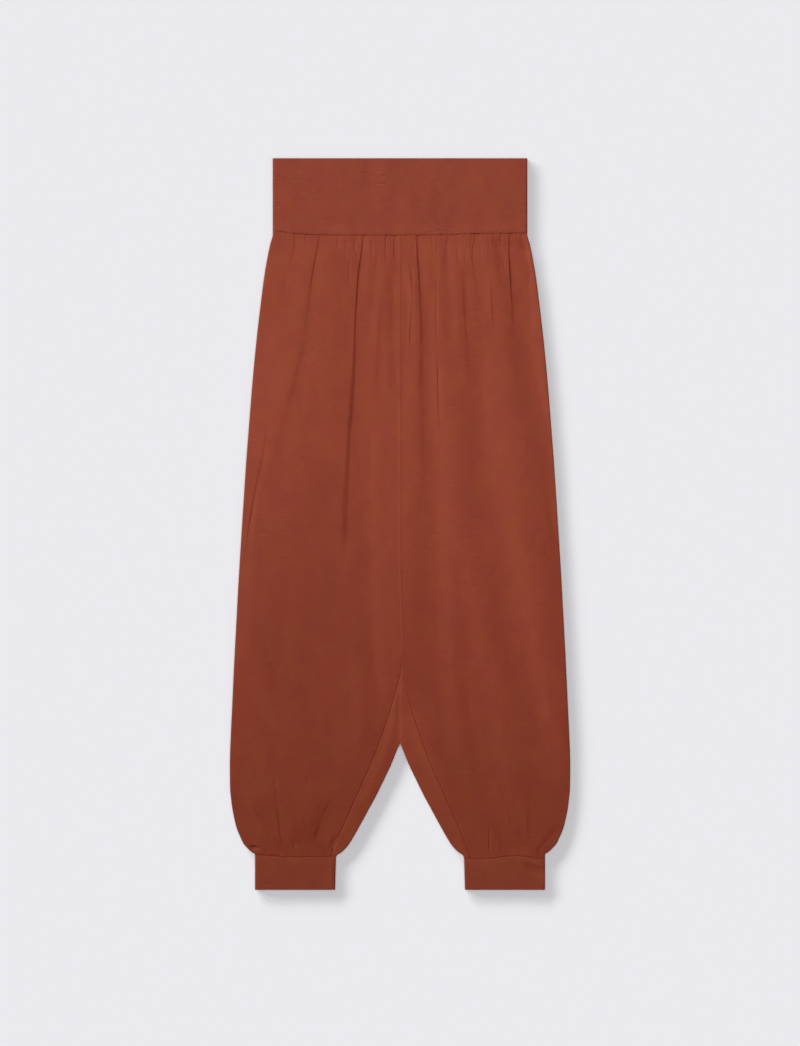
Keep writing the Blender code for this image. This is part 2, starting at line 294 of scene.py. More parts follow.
# Each row is a drop, the place across, the flanks towards -X and +X, and the height.
PLEATS = {
    "long pleat": (
        (5, -51.5, 2, 5.5, -0.55), (14, -52, 2, 9, -0.65), (35, -54.5, 2.5, 12, -1.15),
        (56, -57, 3, 14.5, -1.4), (90, -60, 2, 19.5, -1.25), (133, -62, 2.5, 60, -1.1),
        (175, -61, 6, 58, -1.55), (230, -63, 8.5, 68, -1.9), (287, -68, 7.5, 62, -1.55),
        (343, -69.5, 10.5, 140, -1.75), (385, -71.5, 12, 157, -1.75), (405, -72, 10, 98, -1.8),
        (425, -74, 8, 68, -1.85), (436, -78.5, 8, 66, 0),
    ),
    "short branch of the long pleat": (
        (10, -63.5, 1.5, 1.5, -0.35), (26, -60.5, 1.5, 1.5, -0.3), (41, -57, 2, 1.5, 0),
    ),
    "slanting pleat": (
        (5, -113, 2, 11.5, -0.3), (14, -114.5, 1.5, 12.5, -0.55), (27, -116.5, 2, 16, -0.7),
        (43, -119.5, 2.5, 14.5, -0.8), (90, -125, 5, 14.5, -0.55), (138, -130.5, 6, 15.5, -0.25),
        (186, -140, 6.5, 18, -0.6), (234, -152, 6.5, 13, -0.4), (282, -164, 10, 14, -0.2),
        (330, -174, 10, 13.5, 0),
    ),
    "outer pleat": ((12, -147.5, 1.5, 14, -0.45), (29, -150, 2, 14.5, -0.35), (47, -157, 2, 15, 0)),
    "right pucker": ((4, -88, 1.5, 4.5, -0.25), (12, -87.5, 1.5, 5.5, -0.55), (21, -87, 2, 6, 0)),
    "outer pucker": ((6, -132, 1.5, 4.5, -0.2), (18, -132.5, 1.5, 4.5, 0)),
    "pucker left of the long pleat": (
        (14, -33.5, 2, 9, -0.2), (33, -32.5, 2, 9, -0.5), (52, -34.5, 2, 9.5, 0),
    ),
    "pucker right of the seam": (
        (14, -20, 1.5, 2.5, -0.55), (33, -20, 2, 5.5, -0.35), (52, -18.5, 2, 5.5, 0),
    ),
    "pucker on the seam": ((10, -8, 2, 10, -0.3), (26, -7.5, 2, 9.5, -0.75), (41, -5.5, 2, 10, 0)),
    "inner pleat": (
        (5, 24.5, 2, 7.5, -0.7), (14, 24.5, 1.5, 10, -0.95), (27, 25, 2, 16.5, -1.25),
        (49, 27, 2.5, 15, -1.35), (102, 30.5, 4, 12.5, -0.7), (156, 32.5, 5.5, 23, -1.1),
        (210, 33, 8.5, 21, -0.85), (264, 35.5, 9, 33, -0.5), (318, 37.5, 12, 36.5, -0.6),
        (371, 44.5, 10.5, 35, 0),
    ),
    "middle pleat": (
        (5, 67.5, 3.5, 7, -0.3), (14, 65.5, 4.5, 6.5, -0.75), (28, 66, 8.5, 9, -0.85),
        (61, 66.5, 13, 11.5, -1.1), (95, 69, 20, 14.5, -1.25), (128, 70, 14, 14.5, -1.15),
        (161, 74, 10, 13.5, 0),
    ),
    "middle pucker": ((13, 80.5, 1.5, 5.5, -0.15), (31, 80.5, 2, 6, -0.35), (49, 84, 2, 6, 0)),
    "left pleat": (
        (5, 104.5, 2.5, 13, -0.7), (14, 103.5, 3, 14.5, -0.85), (23, 102.5, 4, 20, -1.0),
        (51, 105, 4.5, 23, -0.6), (80, 111, 4, 20, -0.3), (108, 115, 3.5, 21, 0),
    ),
    "far pleat": (
        (5, 130, 2, 6.5, -0.3), (14, 129.5, 3, 10, -0.6), (24, 129, 3.5, 10, -0.45),
        (52, 128.5, 4.5, 11.5, -0.05), (81, 130, 5, 15, -0.75), (110, 131.5, 5, 22, -1.0),
        (139, 135, 4.5, 29, 0),
    ),
    "edge pleat": (
        (5, 153.5, 2, 9, -0.8), (14, 154, 2.5, 15.5, -1.7), (23, 154, 2.5, 24.5, -3.4),
        (51, 154.5, 1.5, 46, -3.35), (80, 156.5, 2, 33.5, -0.9), (108, 159.5, 4, 46, -0.7),
        (136, 159.5, 4, 50, 0),
    ),
    "pucker 1": ((6, 100, 2.5, 4, -0.35), (14, 99.5, 3, 4, -0.45), (27, 97.5, 3, 4, 0)),
    "pucker 2": ((6, 44.5, 2, 4.5, -0.25), (14, 45, 2.5, 5.5, -0.3), (41, 48.5, 2, 5.5, 0)),
    "pucker 3": ((6, 148.5, 3.5, 4.5, -0.15), (14, 150, 4.5, 4.5, -0.4), (55, 154, 4.5, 4, 0)),
    "pucker 4": ((6, 61.5, 2, 4, -0.1), (14, 60, 2, 3.5, -0.25), (27, 58.5, 2, 4, 0)),
    "pucker 5": ((6, -6.5, 2, 4, -0.1), (14, -7.5, 2, 4, -0.15), (27, -9, 2, 4, 0)),
    "pucker 6": ((6, 141, 2, 3.5, -0.55), (14, 141.5, 2, 3.5, -0.05), (27, 144, 2, 3.5, 0)),
    "pucker at the edge": ((6, 171, 6, 6, -0.45), (14, 173, 3, 4, -0.15), (27, 173, 2, 4, 0)),
}
print("folds from the waist:", len(PLEATS))

# %% Short lines on the legs
SHORT_LINES = {
    "line right of the long pleat": (
        (24, -70.5, 2, 4, 0), (45, -71.5, 2, 4, -0.4), (65, -72, 2, 4, -0.15), (86, -74, 2, 4.5, 0),
    ),
    "outseam crease": (
        (259, -184, 3, 7.5, 0), (295, -188.5, 3, 8.5, -0.35), (331, -195.5, 3.5, 9.5, -0.45),
        (367, -203.5, 2, 6.5, -0.55), (403, -210, 2, 8, -0.85), (439, -215.5, 2, 9, 0),
    ),
    "hollow right of the seam": (
        (72, -26, 9.5, 10, 0), (105, -24.5, 9, 11, -0.65), (138, -26, 7.5, 12, -0.9),
        (171, -28, 7.5, 11.5, -0.4), (204, -28.5, 9, 13, -0.7), (237, -28, 7.5, 13, 0),
    ),
    "hollow beside the seam": (
        (44, -6, 7.5, 3, 0), (81, -8, 8, 3, -0.3), (117, -7.5, 7.5, 3, -0.1),
        (154, -7.5, 9, 3, -0.3), (191, -6, 11.5, 4, -0.45), (228, -4.5, 9.5, 4.5, 0),
    ),
    "line left of the seam": (
        (33, 11.5, 1.5, 7, 0), (59, 16, 1.5, 6.5, -0.65), (85, 17, 1.5, 6, -0.3),
        (111, 16, 1.5, 11, -0.6), (138, 14.5, 1.5, 20.5, -0.8), (164, 14, 1.5, 15.5, 0),
    ),
    "upper line on the left leg": (
        (47, 51.5, 2, 2, 0), (75, 51.5, 2.5, 2, -0.3), (104, 51, 3, 3, -0.45), (133, 51, 3, 3, -0.35),
        (161, 53, 3, 3, 0),
    ),
    "lower line on the left leg": (
        (164, 49.5, 2, 5.5, 0), (192, 53, 1.5, 5.5, -0.7), (220, 53.5, 2, 7.5, -0.6),
        (248, 54.5, 2.5, 9.5, -0.55), (276, 56.5, 2.5, 10, 0),
    ),
    "pleat below the waist": (
        (47, 87.5, 10.5, 10.5, 0), (76, 92.5, 7, 11.5, -1.0), (105, 92.5, 6, 12.5, -0.95),
        (134, 94, 4, 15.5, -0.5), (163, 96, 3.5, 20.5, -0.5), (192, 97, 3.5, 23, 0),
    ),
    "thin line on the outside": (
        (47, -161, 3.5, 5.5, 0), (63, -160.5, 3.5, 5.5, -0.35), (90, -162.5, 3, 5.5, 0),
    ),
    "thin line 1": ((7, 51, 2, 2.5, 0), (21, 51.5, 2, 2.5, -0.4), (40, 51.5, 2.5, 2.5, 0)),
    "thin line 2": ((7, 111, 2, 4, 0), (21, 112, 2, 4, -0.3), (38, 114.5, 2, 4, 0)),
    "thin line 3": (
        (7, 137.5, 2, 12.5, 0), (21, 141.5, 2.5, 17, -0.15), (38, 145, 2.5, 23, -0.4),
        (63, 149, 2.5, 20.5, 0),
    ),
    "thin line 4": ((6, -40, 2, 4.5, 0), (14, -39.5, 2.5, 7, -0.4), (41, -38.5, 2.5, 7.5, 0)),
    "thin line 5": ((6, -61.5, 2, 3.5, 0), (14, -63, 2.5, 3, -0.4), (27, -64, 2.5, 3, 0)),
    "thin line 6": ((6, -51.5, 2, 3.5, 0), (14, -52, 2, 3, -0.35), (27, -53.5, 2, 3, 0)),
    "thin line 7": ((6, 124, 2, 5, 0), (14, 124, 2, 5, -0.4), (55, 124, 2, 4.5, 0)),
    "thin line 8": ((6, 19.5, 2, 6, 0), (14, 19, 2.5, 6.5, -0.2), (55, 16.5, 2, 6, 0)),
    "thin line 9": ((6, -77.5, 2, 4.5, 0), (14, -76, 2, 5, -0.25), (55, -78, 2, 6, 0)),
    "thin line 10": ((5, 94.5, 2, 4, 0), (29, 91.5, 2, 4, -0.2), (47, 90, 2, 4.5, 0)),
}
print("short lines:", len(SHORT_LINES))

# %% Broad rolls
ROLLS = {
    "centre roll": (
        (7, 15, 17, 15.5, 0), (38, 15, 17, 15, 0.25), (90, 20, 12, 22, 2.25), (160, 23.5, 18, 22.5, 1.55),
        (230, 26.5, 25, 21.5, 1.55), (300, 19.5, 62, 31, 2.05), (370, 12, 46.5, 43.5, 2.55),
        (440, 9.5, 55.5, 47.5, 3.3), (510, 6.5, 48, 57, 3.3), (580, 10.5, 49.5, 68, 3.15),
        (637, 13, 48, 125, 0),
    ),
    "left of the inner pleat": (
        (13, 55.5, 15.5, 43.5, 0), (38, 60.5, 14.5, 36.5, 0.5), (70, 64.5, 24.5, 42.5, 1.8),
        (105, 67.5, 27.5, 56, 1.95), (160, 68.5, 48, 50.5, 0.65), (230, 71.5, 43.5, 35.5, 1.75),
        (300, 76.5, 38, 42.5, 3.3), (370, 84.5, 45.5, 45, 3.3), (440, 83.5, 33.5, 56, 2.9),
        (483, 77.5, 31.5, 46.5, 1.35), (539, 72.5, 23, 39.5, 1.95), (595, 73.5, 24, 21.5, 1.05),
        (651, 76.5, 21.5, 21.5, 1.45), (721, 85.5, 33, 26, 2.35), (777, 101, 30, 51, 0),
    ),
    "branch of that roll": (
        (427, 97.5, 28.5, 27.5, 0), (476, 103, 26.5, 33, 1.4), (510, 106.5, 22.5, 28.5, 1.35),
        (580, 125, 29, 36, 1.65), (650, 140.5, 19, 35.5, 0.7), (707, 147.5, 20.5, 34.5, 1.2),
        (756, 156.5, 24.5, 32.5, 2.25), (791, 170.5, 20, 46, 0.95), (840, 190, 16, 30.5, 0),
    ),
    "left roll": (
        (7, 120, 18.5, 32, 0), (38, 124.5, 18.5, 29, 0.4), (90, 135.5, 18.5, 42, 1.25),
        (160, 144.5, 46, 18.5, 0.15), (230, 155, 46, 39, 2.85), (300, 162.5, 51.5, 51.5, 3.35),
        (370, 170, 44.5, 37.5, 3.4), (440, 185.5, 46, 41.5, 3.4), (510, 196, 44.5, 36, 3.25),
        (580, 202.5, 42.5, 40.5, 1.35), (650, 211.5, 43, 46, 0.75), (707, 219.5, 25, 28, 1.15),
        (756, 233.5, 18.5, 22, 0),
    ),
    "hollow at the waist's left end": (
        (0, 134.5, 7.5, 45.5, 0), (20, 139, 9.5, 45, -2.2), (41, 144, 15.5, 29.5, -1.9),
        (62, 144, 11, 22, -1.1), (83, 146.5, 9, 31, 0),
    ),
    "hollow along the left edge": (
        (5, 170.5, 17.5, 8, 0), (21, 175, 14, 8, -2.3), (90, 176.5, 56, 19, -3.3),
        (160, 179.5, 37, 24.5, -3.05), (230, 195, 34, 13.5, -2.2), (273, 206.5, 18.5, 6.5, 0),
    ),
    "hollow below the left roll": (
        (455, 145.5, 31, 32, 0), (510, 159.5, 32.5, 51.5, -2.0), (567, 167, 79.5, 29.5, -2.45),
        (623, 180.5, 41.5, 27, -2.7), (672, 195, 54, 19, -2.7), (714, 213, 38, 28.5, -2.25),
        (749, 229, 26.5, 21, 0),
    ),
    "hollow right of the left roll": (
        (133, 112.5, 18.5, 16.5, 0), (190, 109.5, 22.5, 19, -0.9), (245, 115, 25.5, 15, -0.9),
        (300, 125, 40, 15, 0),
    ),
    "left edge roll": (
        (287, 185, 21, 17, 0), (343, 193, 27, 22.5, 1.1), (400, 203, 26.5, 10.5, 1.3),
        (455, 220, 54, 13, 0),
    ),
    "beside the seam": (
        (28, -12, 9, 11.5, 0), (56, -21, 12, 11, 0.5), (90, -24.5, 16, 16.5, 1.25), (126, -27, 18, 19, 2.1),
        (160, -28.5, 21, 17, 1.05), (196, -29, 25.5, 33.5, 0.65), (245, -33, 24.5, 40, 0),
    ),
    "lower roll beside the seam": (
        (266, -28.5, 18.5, 42.5, 0), (315, -29.5, 15.5, 25, 1.55), (400, -27.5, 19.5, 49.5, 0.55),
        (483, -23, 22.5, 61, 1.4), (567, -21, 21, 62, 2.0), (637, -16.5, 15.5, 106, 2.3),
        (672, -4, 13, 210, 0),
    ),
    "right of the long pleat": (
        (14, -86.5, 39.5, 43, 0), (49, -90.5, 52, 51.5, 0.2), (90, -96.5, 66, 65, 1.4),
        (160, -109.5, 42, 79.5, 1.9), (230, -119, 66.5, 104, 3.05), (300, -129, 112, 94, 3.3),
        (370, -137.5, 41.5, 135, 1.85), (434, -141.5, 30, 255, 0),
    ),
    "right roll": (
        (5, -124, 21, 9.5, 0), (28, -128.5, 19.5, 10.5, 0.45), (56, -128.5, 27.5, 16.5, 0.9),
        (90, -133.5, 24.5, 18.5, 0.8), (160, -149.5, 64.5, 32, 1.7), (230, -168, 56, 33, 2.95),
        (287, -178, 87, 29.5, 1.4), (350, -191, 63, 18, 0),
    ),
    "right edge roll": (
        (266, -191, 31, 233, 0), (330, -196.5, 25.5, 168, 1.1), (427, -196.5, 34.5, 217, 2.8),
        (525, -202.5, 32, 320, 3.15), (623, -210, 40.5, 210, 1.9), (707, -211, 24, 170, 0),
    ),
    "middle of the right leg": (
        (455, -121.5, 18, 37, 0), (510, -124.5, 20.5, 33.5, -0.3), (580, -128, 22.5, 26, 0),
    ),
    "low on the right leg": (
        (650, -164.5, 38, 81.5, 0), (693, -164.5, 35.5, 64, 1.1), (735, -161.5, 23.5, 45.5, 0.2),
        (770, -158.5, 20, 36, 0),
    ),
    "low and inner on the right leg": (
        (650, -107, 67.5, 12.5, 0), (693, -107.5, 48.5, 11.5, 0.65), (735, -103.5, 24, 14.5, 0.4),
        (770, -101, 25.5, 16.5, 0),
    ),
    "above the right inseam": (
        (518, -70, 13, 24.5, 0), (580, -61, 16.5, 24, 0.7), (616, -57, 17, 19, 0.85),
        (651, -52, 20.5, 31.5, 1.6), (686, -50.5, 17.5, 52.5, 1.3), (728, -56.5, 17, 78.5, 0),
    ),
    "above the left inseam": (
        (650, 24.5, 34.5, 75.5, 0), (707, 44, 33, 30.5, 2.3), (763, 66, 27.5, 26, 1.15),
        (819, 87.5, 25.5, 19, 0),
    ),
    "hollow above the left inseam": (
        (567, 65, 31, 6.5, 0), (623, 69, 40, 6, -0.35), (693, 84, 57, 17, -0.4), (763, 97, 56, 16.5, 0),
    ),
}
print("broad rolls and hollows:", len(ROLLS))

# %% Folds above the cuffs
CUFF_FOLDS = {
    "outer roll, right cuff": (
        (772, -191, 66.5, 56, 0), (798, -189.5, 42, 50.5, 2.85), (826, -189, 18.5, 53, 0.65),
        (861, -195, 29, 81, 0.4), (884, -196.5, 29, 81, 0),
    ),
    "inner roll, right cuff": (
        (763, -126, 93.5, 73.5, 0), (791, -133, 56, 51.5, 1.35), (826, -144, 53, 44, 1.5),
        (861, -153.5, 39, 34, 0.4), (884, -159, 45, 34, 0),
    ),
    "hollow, right cuff": (
        (780, -187, 57.5, 47.5, 0), (800, -186.5, 85, 30, -1.65), (822, -180.5, 141, 38, -0.5),
        (850, -173, 141, 32, 0),
    ),
    "long line, right cuff": (
        (738, -169.5, 2.5, 5.5, 0), (768, -175, 2.5, 5.5, -0.5), (798, -172, 3, 9, -0.6),
        (828, -168.5, 2.5, 20, -0.8), (859, -164.5, 2.5, 18, 0),
    ),
    "top of the long line": (
        (738, -170.5, 4.5, 4.5, 0), (747, -172, 4.5, 5, 0.25), (755, -172.5, 4.5, 5.5, 0.4),
        (765, -171, 5, 6.5, 0.4), (775, -169, 5, 6.5, 0),
    ),
    "slanting hollow, right cuff": (
        (786, -95.5, 5, 46.5, 0), (802, -101.5, 5, 33, -0.7), (819, -107.5, 7, 35.5, -1.0),
        (835, -114, 6.5, 39, -1.15), (852, -119, 6.5, 33, 0),
    ),
    "its dark flank": (
        (791, -105.5, 11.5, 8, 0), (803, -108, 11, 7.5, -0.15), (814, -111.5, 11.5, 7, -0.55),
        (825, -116, 11, 7, -0.6), (836, -119, 10, 7, 0),
    ),
    "line at the inseam, right cuff": (
        (839, -88, 7.5, 4.5, 0), (851, -93, 7, 5, -1.05), (863, -95, 6, 5, 0),
    ),
    "small line at the inseam": (
        (838, -86, 2, 4, 0), (849, -91, 2, 4, -0.25), (860, -94.5, 2, 4, -0.1), (867, -97.5, 2, 4, 0),
    ),
    "nick": (
        (758, -133.5, 1.5, 3.5, 0), (764, -130.5, 1.5, 3, -0.2), (771, -130, 1.5, 3, -0.55),
        (777, -128, 1.5, 3.5, 0),
    ),
    "slanting ridge, right cuff": (
        (786, -213.5, 12.5, 17.5, 0), (800, -207, 12, 16.5, 0.65), (811, -199, 11, 20, 0.45),
        (822, -193, 11, 22, 0.45), (833, -187.5, 11, 17.5, 0.35), (847, -180.5, 11, 18, 0),
    ),
    "bright ridge, right cuff": (
        (791, -214.5, 5.5, 4.5, 0), (805, -206, 4, 4, 1.3), (819, -197.5, 6.5, 5.5, 0.45),
        (836, -188.5, 7.5, 6, 0.05), (853, -179, 8.5, 6.5, 0),
    ),
    "patch beside the long line": (
        (822, -183.5, 14.5, 16, 0), (833, -178, 15, 19.5, -0.6), (845, -173, 13, 17, 0),
    ),
    "low hollow, right cuff": (
        (828, -144, 15, 23.5, 0), (839, -143.5, 15, 21.5, -0.3), (850, -142, 12.5, 18.5, -0.3),
        (861, -142, 12, 18.5, 0),
    ),
    "pucker 1, right cuff": (
        (842, -149.5, 2, 11.5, 0), (853, -148.5, 2, 18, -0.4), (864, -146.5, 2, 19.5, 0),
    ),
    "pucker 2, right cuff": (
        (852, -139.5, 2.5, 4.5, 0), (859, -136.5, 2.5, 4.5, -0.45), (866, -132.5, 2.5, 5, 0),
    ),
    "pucker 3, right cuff": (
        (842, -151.5, 2, 4, 0), (847, -151.5, 2, 4, -0.2), (854, -149.5, 2.5, 4, -0.45),
        (861, -146.5, 2, 4, 0),
    ),
    "line, left cuff": (
        (822, 124, 1.5, 1.5, 0), (838, 125, 1.5, 1.5, -0.5), (853, 125, 1.5, 1.5, -0.7),
        (868, 125, 1.5, 1.5, 0),
    ),
    "sweep, left cuff": (
        (831, 220.5, 5, 9.5, 0), (844, 210.5, 6, 11.5, -0.55), (857, 202, 6.5, 12, -0.5),
        (870, 191.5, 6, 11, 0),
    ),
    "narrow sweep, left cuff": (
        (822, 226.5, 7, 8, 0), (832, 217, 8, 9, -0.25), (842, 207.5, 10.5, 8.5, -0.35),
        (852, 200.5, 8, 7.5, -0.65), (860, 195, 4.5, 5.5, -0.65), (867, 194, 4, 6.5, 0),
    ),
    "roll beside the sweep": (
        (828, 212.5, 47.5, 12.5, 0), (842, 206.5, 40, 12.5, 0.5), (856, 201.5, 26, 18, 1.35),
        (870, 202, 27, 22, 0),
    ),
    "ridge, left cuff": (
        (791, 172.5, 8.5, 6, 0), (808, 175.5, 7.5, 6.5, 0.3), (828, 177.5, 6.5, 6, 0.5),
        (850, 176.5, 7, 6, 0),
    ),
    "line beside the ridge": (
        (794, 178, 3.5, 7, 0), (808, 179.5, 3.5, 7, -0.2), (822, 180, 3.5, 6.5, -0.35),
        (836, 180.5, 3, 6, -0.15), (850, 181, 3, 6.5, 0),
    ),
    "short ridge, left cuff": (
        (808, 147.5, 3, 5.5, 0), (817, 149.5, 3, 4.5, 0.2), (825, 150, 3.5, 4.5, 0.5),
        (833, 150.5, 3.5, 5, 0),
    ),
    "low hollow, left cuff": (
        (833, 143, 17, 50, 0), (845, 145.5, 17, 52.5, -1.25), (856, 149.5, 12.5, 59, -1.45),
        (870, 155.5, 12, 60.5, 0),
    ),
    "upper hollow, left cuff": (
        (819, 135, 19, 27, 0), (833, 139, 16.5, 26, -1.35), (847, 142, 14, 22, -0.3),
        (861, 144.5, 12, 23.5, 0),
    ),
    "pucker 1, left cuff": (
        (842, 138.5, 2, 4.5, 0), (851, 140.5, 2, 4.5, -0.2), (860, 141.5, 2, 5, -0.3),
        (870, 143.5, 2, 5, 0),
    ),
    "pucker 2, left cuff": (
        (845, 92, 2, 4, 0), (854, 98.5, 2, 4, -0.4), (861, 103, 2, 4, -0.4), (868, 108, 2, 4, 0),
    ),
}
print("folds above the cuffs:", len(CUFF_FOLDS))

# %% Folds on the strips
STRIP_FOLDS = {
    "right strip": (
        (637, -5, 4, 5.5, 0), (654, -5.5, 5.5, 5.5, 0.35), (672, -7, 7, 7, 0.55), (693, -11, 10, 10, 0.8),
        (714, -15.5, 12.5, 12.5, 0.9), (738, -24, 14, 12.5, 0.75), (766, -36.5, 12.5, 12.5, 0.5),
        (794, -52, 10, 12.5, 0.4), (831, -73, 10, 11, 0),
    ),
    "below the fork": (
        (612, 3.5, 5.5, 7, 0), (637, 3.5, 8.5, 10, 0.45), (657, 3.5, 8.5, 11, 0.55),
        (677, 4, 6.5, 15.5, 0.65), (696, 4, 5.5, 17, 0.6), (713, 4, 5.5, 18, 0.35), (724, 4, 5.5, 18, 0),
    ),
}
FOLDS = [from_the_waist(rows) for rows in PLEATS.values()]
for group in (SHORT_LINES, ROLLS, CUFF_FOLDS, STRIP_FOLDS):
    FOLDS += group.values()


# %% The height of a fold
def read_fold(rows, drop):
    """The fold's middle, its two flanks and its height, at each drop."""
    table = np.array(rows, float)
    return (smooth(drop, table[:, [0, column]]) for column in (1, 2, 3, 4))


def fold_height(rows, x, drop):
    """The height that one fold adds at each point."""
    middle, minus_flank, plus_flank, height = read_fold(rows, drop)
    across = (x - middle) / np.where(x < middle, minus_flank, plus_flank)
    here = (drop > rows[0][0]) & (drop < rows[-1][0])
    return here * height * (1 + np.cos(np.pi * np.clip(across, -1, 1))) / 2


print("folds:", len(FOLDS))

# %% [markdown]
# A few places are too round to be folds, such as a small curl of cloth that the cuff pushes up. They are oval
# swells. Like a fold, a swell has two flanks: its half width is given above and below its middle.

# %% Swells
# Sizes are in mm, and turn is how far the swell's long side is turned from straight across, in degrees.
Swell = namedtuple("Swell", "x drop half_length above below turn height")
SWELLS = (
    Swell(-204, 857, 10, 2.5, 7.5, -8, -2.0),
)
CUFF_SWELLS = (
    Swell(187.5, 888.5, 25, 12.5, 8, -30, -2.0),
    Swell(192, 877.5, 19.5, 5.5, 5.5, -12, 0.6),
)
print("swells:", len(SWELLS) + len(CUFF_SWELLS))

# %% [markdown]
# The gathers are many and alike, so a table would say little. They are drawn from a seeded random
# generator: each has its own place, length, width and height, and leans outwards as the cloth fans out.


# %% Gathers
FAN_OUT = 0.10  # how much more the last gather leans than the first, as a share of its length
GATHER_SHAPE = ((-0.05, 0.7), (0.1, 1.0), (0.5, 0.6), (1.0, 0.0))  # shares of the length and of the height
GATHER_RIDGES = 0.4  # the share of gathers that stand up; the others are troughs


def gathers(seed, first, last, spacing, seam_drop, longest, height, down=1):
    """Small puckers side by side along a seam. down is 1 below the seam and -1 above it."""
    dice = np.random.default_rng(seed)
    made = []
    x = first
    while x < last:
        length = longest * dice.uniform(0.35, 1.0)
        lean = (x - (first + last) / 2) / (last - first) * FAN_OUT * length
        left = spacing * dice.uniform(0.24, 0.42)
        right = left * dice.uniform(1.0, 1.6)
        size = height * dice.uniform(0.35, 1.0) * (1 if dice.random() < GATHER_RIDGES else -1)
        rows = [
            (seam_drop + down * share * length, x + lean * share, left, right, size * part)
            for share, part in GATHER_SHAPE
        ]
        made.append(rows[::down])
        x += spacing * dice.uniform(0.7, 1.4)
    return made


WAIST_GATHERS = gathers(3, -174, 174, 5.5, 0, 14, 0.24)
CUFF_GATHERS = {
    "right": gathers(5, -196, -92, 7.5, LEG_LENGTH, 12, 0.28, down=-1),
    "left": gathers(9, 92, 196, 7.5, LEG_LENGTH, 12, 0.28, down=-1),
}
print("gathers:", len(WAIST_GATHERS), "at the waist and", len(CUFF_GATHERS["left"]), "at each cuff")


# %% The height of the front
LOFT = 1.5  # how high the cloth stands above its rolled edges
LOFT_REACH = 60.0  # how far in from the outer edge it has its full loft
INNER_LOFT_REACH = 160.0  # and how far in from the inner fold
SEAM_REACH = 40.0  # and how far from the seams at the waist and the cuffs
RIPPLE = 0.08
EDGE_CALM = 3.5  # how far in from a rolled edge the gathers and the ripple have their height
ROOM = 2.5  # how deep a trough may go at a rolled edge before the front touches the back
SOFTNESS = 0.2  # how softly a trough levels out there
# The centre seam is a fine cord. Its height falls towards the fork.
CORD_HEIGHTS = ((0, 0.34), (480, 0.34), (600, 0.26), (640, 0.16), (711, 0.12))
SEAM_CORD = [(drop, x, 2.0, 3.0, float(smooth(drop, CORD_HEIGHTS))) for drop, x in CENTRE_LINE]

ripple_dice = np.random.default_rng(21)
RIPPLES = [  # waves: radians for each mm across and down, a shift and a size
    (
        ripple_dice.uniform(0.04, 0.16) * ripple_dice.choice((-1, 1)),
        ripple_dice.uniform(-0.022, 0.022),
        ripple_dice.uniform(0, 2 * math.pi),
        ripple_dice.uniform(0.4, 1.0),
    )
    for _ in range(26)
]


def ripple(x, drop):
    """A faint uneven swell, longer down the leg than across it, between about -1 and 1."""
    total = sum(size * np.sin(across * x + down * drop + shift) for across, down, shift, size in RIPPLES)
    return total / math.sqrt(len(RIPPLES) / 2)


def swell_height(swell, x, drop):
    """The height that one swell adds: a soft oval hill, or a hollow when its height is negative."""
    turn = math.radians(swell.turn)
    dx, dy = x - swell.x, swell.drop - drop
    along = (dx * math.cos(turn) + dy * math.sin(turn)) / swell.half_length
    across = dy * math.cos(turn) - dx * math.sin(turn)
    across = across / np.where(across > 0, swell.above, swell.below)
    return swell.height * (1 - ease(np.hypot(along, across)))


def level_out(height, low):
    """The height, but never below low: it levels out softly there."""
    over = height - low
    return low + (over + np.hypot(over, SOFTNESS)) / 2


def front_height(side, x, drop):
    """The height of the front's upper side in millimetres."""
    place = follow_seams(side, x, drop)
    to_outer = outer_edge(side, drop) - np.abs(x)
    to_crotch = np.hypot(x, CROTCH_DROP - drop)
    to_inner = np.where(drop < CROTCH_DROP, to_crotch, np.abs(x) - inner_fold(side, drop))
    from_edge = np.maximum(np.minimum(to_outer, to_inner) - EDGE_REACH, 0)
    from_outer = 1 - np.clip((to_outer - EDGE_REACH) / LOFT_REACH, 0, 1)
    from_inner = 1 - np.clip((to_inner - EDGE_REACH) / INNER_LOFT_REACH, 0, 1)
    from_seams = ease(drop / SEAM_REACH) * ease((LEG_LENGTH - drop) / SEAM_REACH)
    loft = LOFT * (1 - from_outer**2) * (1 - from_inner**2) * from_seams
    folds = sum(fold_height(rows, x, place) for rows in FOLDS)
    folds = folds + sum(swell_height(swell, x, place) for swell in SWELLS)
    small = sum(fold_height(rows, x, drop) for rows in (*WAIST_GATHERS, *CUFF_GATHERS[side], SEAM_CORD))
    calm = ease(from_edge / EDGE_CALM)
    deep = level_out(folds, -ROOM - loft)
    return 2 * EDGE_RISE + loft + deep + (small + RIPPLE * ripple(x, drop)) * calm


# %% [markdown]
# ## Making a sheet
#
# A panel starts as Blender's grid primitive, one unit wide. Each of its points has a share across (0 to 1)
# and a share down (0 to 1), and a function turns those shares into a place on the garment. The points are
# read and written all at once, which is quick even for a fine grid. A Solidify modifier then gives the cloth
# its thickness on the inside, and is applied.


# %% Sheets
SMOOTH_UP_TO = 50.0  # degrees between two faces, past which the edge looks sharp


def points_of(sheet):
    points = np.empty(3 * len(sheet.data.vertices))
    sheet.data.vertices.foreach_get("co", points)
    return points.reshape(-1, 3)


def lay_sheet(name, columns, rows, place, mirror=False):
    """A grid whose points are moved by place(across, down), which gives x, y and z in millimetres."""
    bpy.ops.mesh.primitive_grid_add(x_subdivisions=columns, y_subdivisions=rows, size=1)
    sheet = bpy.context.object
    sheet.name = name
    sheet.data.name = name
    flat = points_of(sheet)
    across, down = flat[:, 0] + 0.5, 0.5 - flat[:, 1]
    moved = np.column_stack(place(1 - across if mirror else across, down)) * MM
    sheet.data.vertices.foreach_set("co", moved.astype(np.float32).ravel())
    sheet.data.update()
    return sheet


